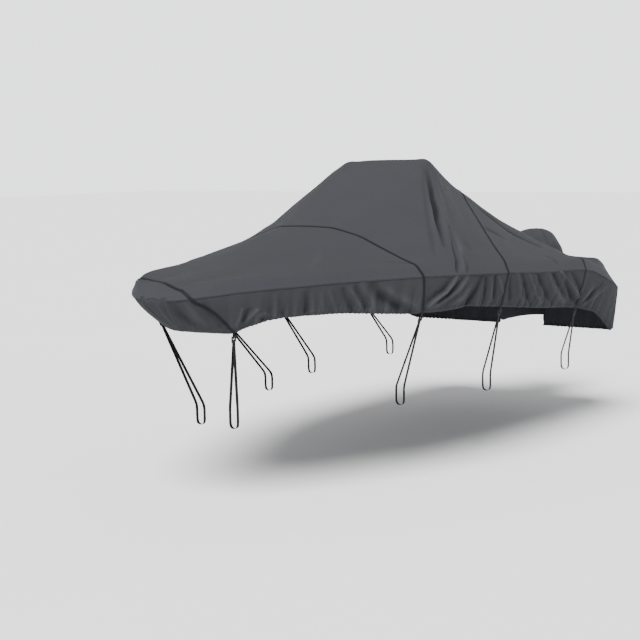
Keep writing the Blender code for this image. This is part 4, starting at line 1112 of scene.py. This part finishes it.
# %% [markdown]
# At each end of a strap there is a sliding buckle, and below it a loop that goes down to
# the tie-down point and back. The loop's line is straight down its two sides and rounded
# at its foot, as webbing is when it goes round a bar.

# %% Straps, loops and buckles
BUCKLE_DROP = 0.056
BUCKLE_TALL, BUCKLE_THICK = 0.052, 0.012
LOOP_HALF, LOOP_TOP, LOOP_FOOT, LOOP_BEND = 0.034, 0.665, 0.528, 0.012
LOOP_WIDE = 0.0265


def pull_axes(hem, below):
    """Down, out and along of the pull from a hem point to the foot of its loop."""
    down = unit_rows(below - hem)
    along = unit_rows(np.array((1.0, 0.0, 0.0)) - down * down[0])
    out = np.cross(down, along)
    return down, out * np.sign(out[1] * hem[1]), along


def loop_tape(name, middle, down, out, sign, foot_x, foot_y):
    """A loop: out of the buckle, down the outside, round the foot and back up."""
    lead = middle + down * 0.006
    near, far = sign * (foot_y + LOOP_HALF), sign * (foot_y - LOOP_HALF)
    turn = place([
        (foot_x, near, LOOP_TOP), (foot_x, near, LOOP_FOOT + LOOP_BEND),
        (foot_x, near - sign * 0.3 * LOOP_BEND, LOOP_FOOT + 0.3 * LOOP_BEND),
        (foot_x, near - sign * LOOP_BEND, LOOP_FOOT), (foot_x, far + sign * LOOP_BEND, LOOP_FOOT),
        (foot_x, far + sign * 0.3 * LOOP_BEND, LOOP_FOOT + 0.3 * LOOP_BEND),
        (foot_x, far, LOOP_FOOT + LOOP_BEND), (foot_x, far, LOOP_TOP)])
    outer, inner = lead + out * 0.0017, lead - out * 0.0017
    line = np.concatenate(([outer, outer + down * 0.03], turn, [inner + down * 0.03, inner]))
    line = eased(even_line(line, 0.006), 24)
    travel = unit_rows(np.gradient(line, axis=0))
    along = unit_rows(np.array((1.0, 0.0, 0.0)) - travel * travel[:, :1])
    normals = np.cross(travel, along)
    lowest = int(np.argmin(line[:, 2]))
    if normals[lowest, 2] > 0:
        normals = -normals
    return tape(name, line - normals * WEB_THICK / 2, normals, broad=LOOP_WIDE)


def buckle_look():
    """Moulded black plastic: satin, with a faint grain from the mould and a faint mottle of wear.
    """
    look, tree, shader = blank_look("buckle_plastic_black")
    spot = add_node(tree, "ShaderNodeTexCoord").outputs["Object"]
    grain = add_node(tree, "ShaderNodeTexNoise", {
        "Vector": spot, "Scale": 900.0, "Detail": 2.0}).outputs["Fac"]
    wear = add_node(tree, "ShaderNodeTexNoise", {
        "Vector": spot, "Scale": 60.0, "Detail": 4.0}).outputs["Fac"]
    colour = add_node(tree, "ShaderNodeMix", {
        0: wear, 6: (0.005, 0.005, 0.006, 1.0), 7: (0.012, 0.012, 0.013, 1.0)}, data_type="RGBA")
    tree.links.new(colour.outputs[2], shader.inputs["Base Color"])
    shader.inputs["Specular IOR Level"].default_value = 0.22
    rough = add_node(tree, "ShaderNodeMapRange", {0: wear, 3: 0.44, 4: 0.62}).outputs[0]
    tree.links.new(rough, shader.inputs["Roughness"])
    bump = add_node(tree, "ShaderNodeBump", {"Height": grain, "Strength": 0.3, "Distance": 0.0002})
    tree.links.new(bump.outputs[0], shader.inputs["Normal"])
    return look


buckle_black = buckle_look()


def ladder_buckle(name, middle, down, out, along):
    """A ladder buckle: a rounded frame with two bars across it, each a rounded block, joined."""
    axes = np.stack((along, out, down), axis=1)
    blocks = [((side * 0.0158, 0.0, 0.0), (0.0044, BUCKLE_THICK, BUCKLE_TALL))
              for side in (-1, 1)]
    blocks += [((0.0, 0.0, z), (0.0330, thick, 0.0052))
               for z, thick in ((-0.0234, 0.010), (0.0234, 0.010))]
    blocks += [((0.0, 0.0042, z), (0.0330, 0.0034, 0.0058)) for z in (-0.009, 0.009)]
    form = np.array([(a, b, c) for a in (-1, 1) for b in (-1, 1) for c in (-1, 1)]) / 2
    sides = ((0, 1, 3, 2), (4, 6, 7, 5), (0, 4, 5, 1), (2, 3, 7, 6), (0, 2, 6, 4), (1, 5, 7, 3))
    points = np.concatenate([np.array(centre) + form * size for centre, size in blocks])
    faces = [[8 * k + v for v in side] for k in range(len(blocks)) for side in sides]
    if np.linalg.det(axes) < 0:
        faces = [face[::-1] for face in faces]
    mesh = bpy.data.meshes.new(name)
    mesh.from_pydata((middle + points @ axes.T).tolist(), [], faces)
    mesh.polygons.foreach_set("use_smooth", np.ones(len(faces), bool))
    mesh.materials.append(buckle_black)
    made = bpy.data.objects.new(name, mesh)
    bpy.context.scene.collection.objects.link(made)
    edge = made.modifiers.new("edge", "BEVEL")
    edge.width = 0.0013
    edge.segments = 3
    return made


for name, step, (foot_x, foot_y), way in STRAPS:
    line, normals = laid_on_cloth(way, step)
    ends = []
    for side, sign, index in (("port", -1.0, 0), ("starboard", 1.0, -1)):
        foot = place((foot_x, sign * foot_y, LOOP_TOP))
        down, out, along = pull_axes(line[index], foot)
        middle = line[index] + down * BUCKLE_DROP
        tail = line[index] + down * (BUCKLE_DROP - 0.010) - out * WEB_THICK / 2
        ends.append((tail, out))
        end = "%s_%s" % (name, side)
        loop = loop_tape("loop_tape_" + end, middle, down, out, sign, foot_x, foot_y)
        buckle = ladder_buckle("ladder_buckle_" + end, middle, down, out, along)
        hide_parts("loop_" + end)
        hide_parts("buckle_" + end)
        for piece, finish in ((loop, "webbing"), (buckle, "buckle_plastic")):
            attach(piece, "root")
    head = np.linspace(ends[0][0], line[0], 5)[:-1]
    foot = np.linspace(line[-1], ends[1][0], 5)[1:]
    line = np.concatenate((head, line, foot))
    faces = [np.repeat([end_out], 4, 0) for _, end_out in ends]
    normals = np.concatenate((faces[0], normals, faces[1]))
    strap = tape("strap_tape_" + name, line, unit_rows(eased(normals, 2)))
    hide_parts("strap_" + name)
    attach(strap, "root")
    length = float(np.linalg.norm(np.diff(line, axis=0), axis=1).sum())
    print(strap.name, "length", round(length, 3))

# %% [markdown]
# Each sheet is attached to the root, and the imported part it stands for is hidden. The top
# panels are wider at the ridge than at their ends. The skirts are cut longer than the edge
# they are sewn to, because they are gathered.


for piece, node, grid, held, rests in (
    (bow_sheet, "bow_panel", bow_grid, "draped", ()),
    (stern_sheet, "stern_panel", stern_grid, "draped", ()),
    (skirt_port_sheet, "skirt_port", port_grid, "gathered", ("bow_sheet", "stern_sheet")),
    (skirt_star_sheet, "skirt_starboard", star_grid, "gathered", ("bow_sheet", "stern_sheet")),
    (hood, "motor_hood", hood_grid, "draped", ("stern_sheet",)),
):
    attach(piece, "root")
    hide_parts(node)

# %% [markdown]
# A photographer would set it over pale paper under one wide light off the bow, so its top
# is lit more than its sides and its shadow is soft. The floor is a wide plain sheet, and
# the world is brightest at the height of the horizon, where it meets that floor.

# %% Floor and light
GROUND = float(SHIFT[2])
floor_mesh = bpy.data.meshes.new("floor")
floor_mesh.from_pydata([(-60, -60, GROUND), (60, -60, GROUND), (60, 60, GROUND), (-60, 60, GROUND)],
                       [], [(0, 1, 2, 3)])
floor = bpy.data.objects.new("floor", floor_mesh)
bpy.context.scene.collection.objects.link(floor)
paper, paper_tree, paper_shader = blank_look("pale_paper")
tone = add_node(paper_tree, "ShaderNodeTexNoise", {
    "Vector": add_node(paper_tree, "ShaderNodeTexCoord").outputs["Object"],
    "Scale": 0.4, "Detail": 2.0}).outputs["Fac"]
shade = add_node(paper_tree, "ShaderNodeMix", {
    0: tone, 6: (0.78, 0.78, 0.78, 1.0), 7: (0.82, 0.82, 0.82, 1.0)}, data_type="RGBA")
paper_tree.links.new(shade.outputs[2], paper_shader.inputs["Base Color"])
paper_shader.inputs["Roughness"].default_value = 0.95
paper_shader.inputs["Specular IOR Level"].default_value = 0.1
floor_mesh.materials.append(paper)


def soft_light(name, toward, power, spread_angle):
    """A far soft light: even over the whole floor, from the direction given. A wider
    spread, in degrees, makes softer shadows."""
    light = bpy.data.lights.new(name, "SUN")
    light.energy = power
    light.angle = math.radians(spread_angle)
    made = bpy.data.objects.new(name, light)
    made.rotation_euler = Vector(toward).to_track_quat("Z", "Y").to_euler()
    bpy.context.scene.collection.objects.link(made)
    return made


LIGHT_FROM, LIGHT_POWER, LIGHT_SPREAD = (-0.62, -0.22, 0.78), 8.4, 30
WORLD_LOW, WORLD_HIGH = 2.35, 0.55
soft_light("over_bow", LIGHT_FROM, LIGHT_POWER, LIGHT_SPREAD)
world = bpy.data.worlds.new("pale")
bpy.context.scene.world = world
world.use_nodes = True
background = world.node_tree.nodes["Background"]
sky = add_node(world.node_tree, "ShaderNodeTexCoord").outputs["Generated"]
height = add_node(world.node_tree, "ShaderNodeSeparateXYZ", {0: sky}).outputs[2]
strength = add_node(world.node_tree, "ShaderNodeMapRange", {
    0: height, 1: 0.11, 2: 0.26, 3: WORLD_LOW, 4: WORLD_HIGH}).outputs[0]
world.node_tree.links.new(strength, background.inputs["Strength"])
background.inputs["Color"].default_value = (0.97, 0.98, 1.0, 1.0)
print("lights", 1, "and the world")
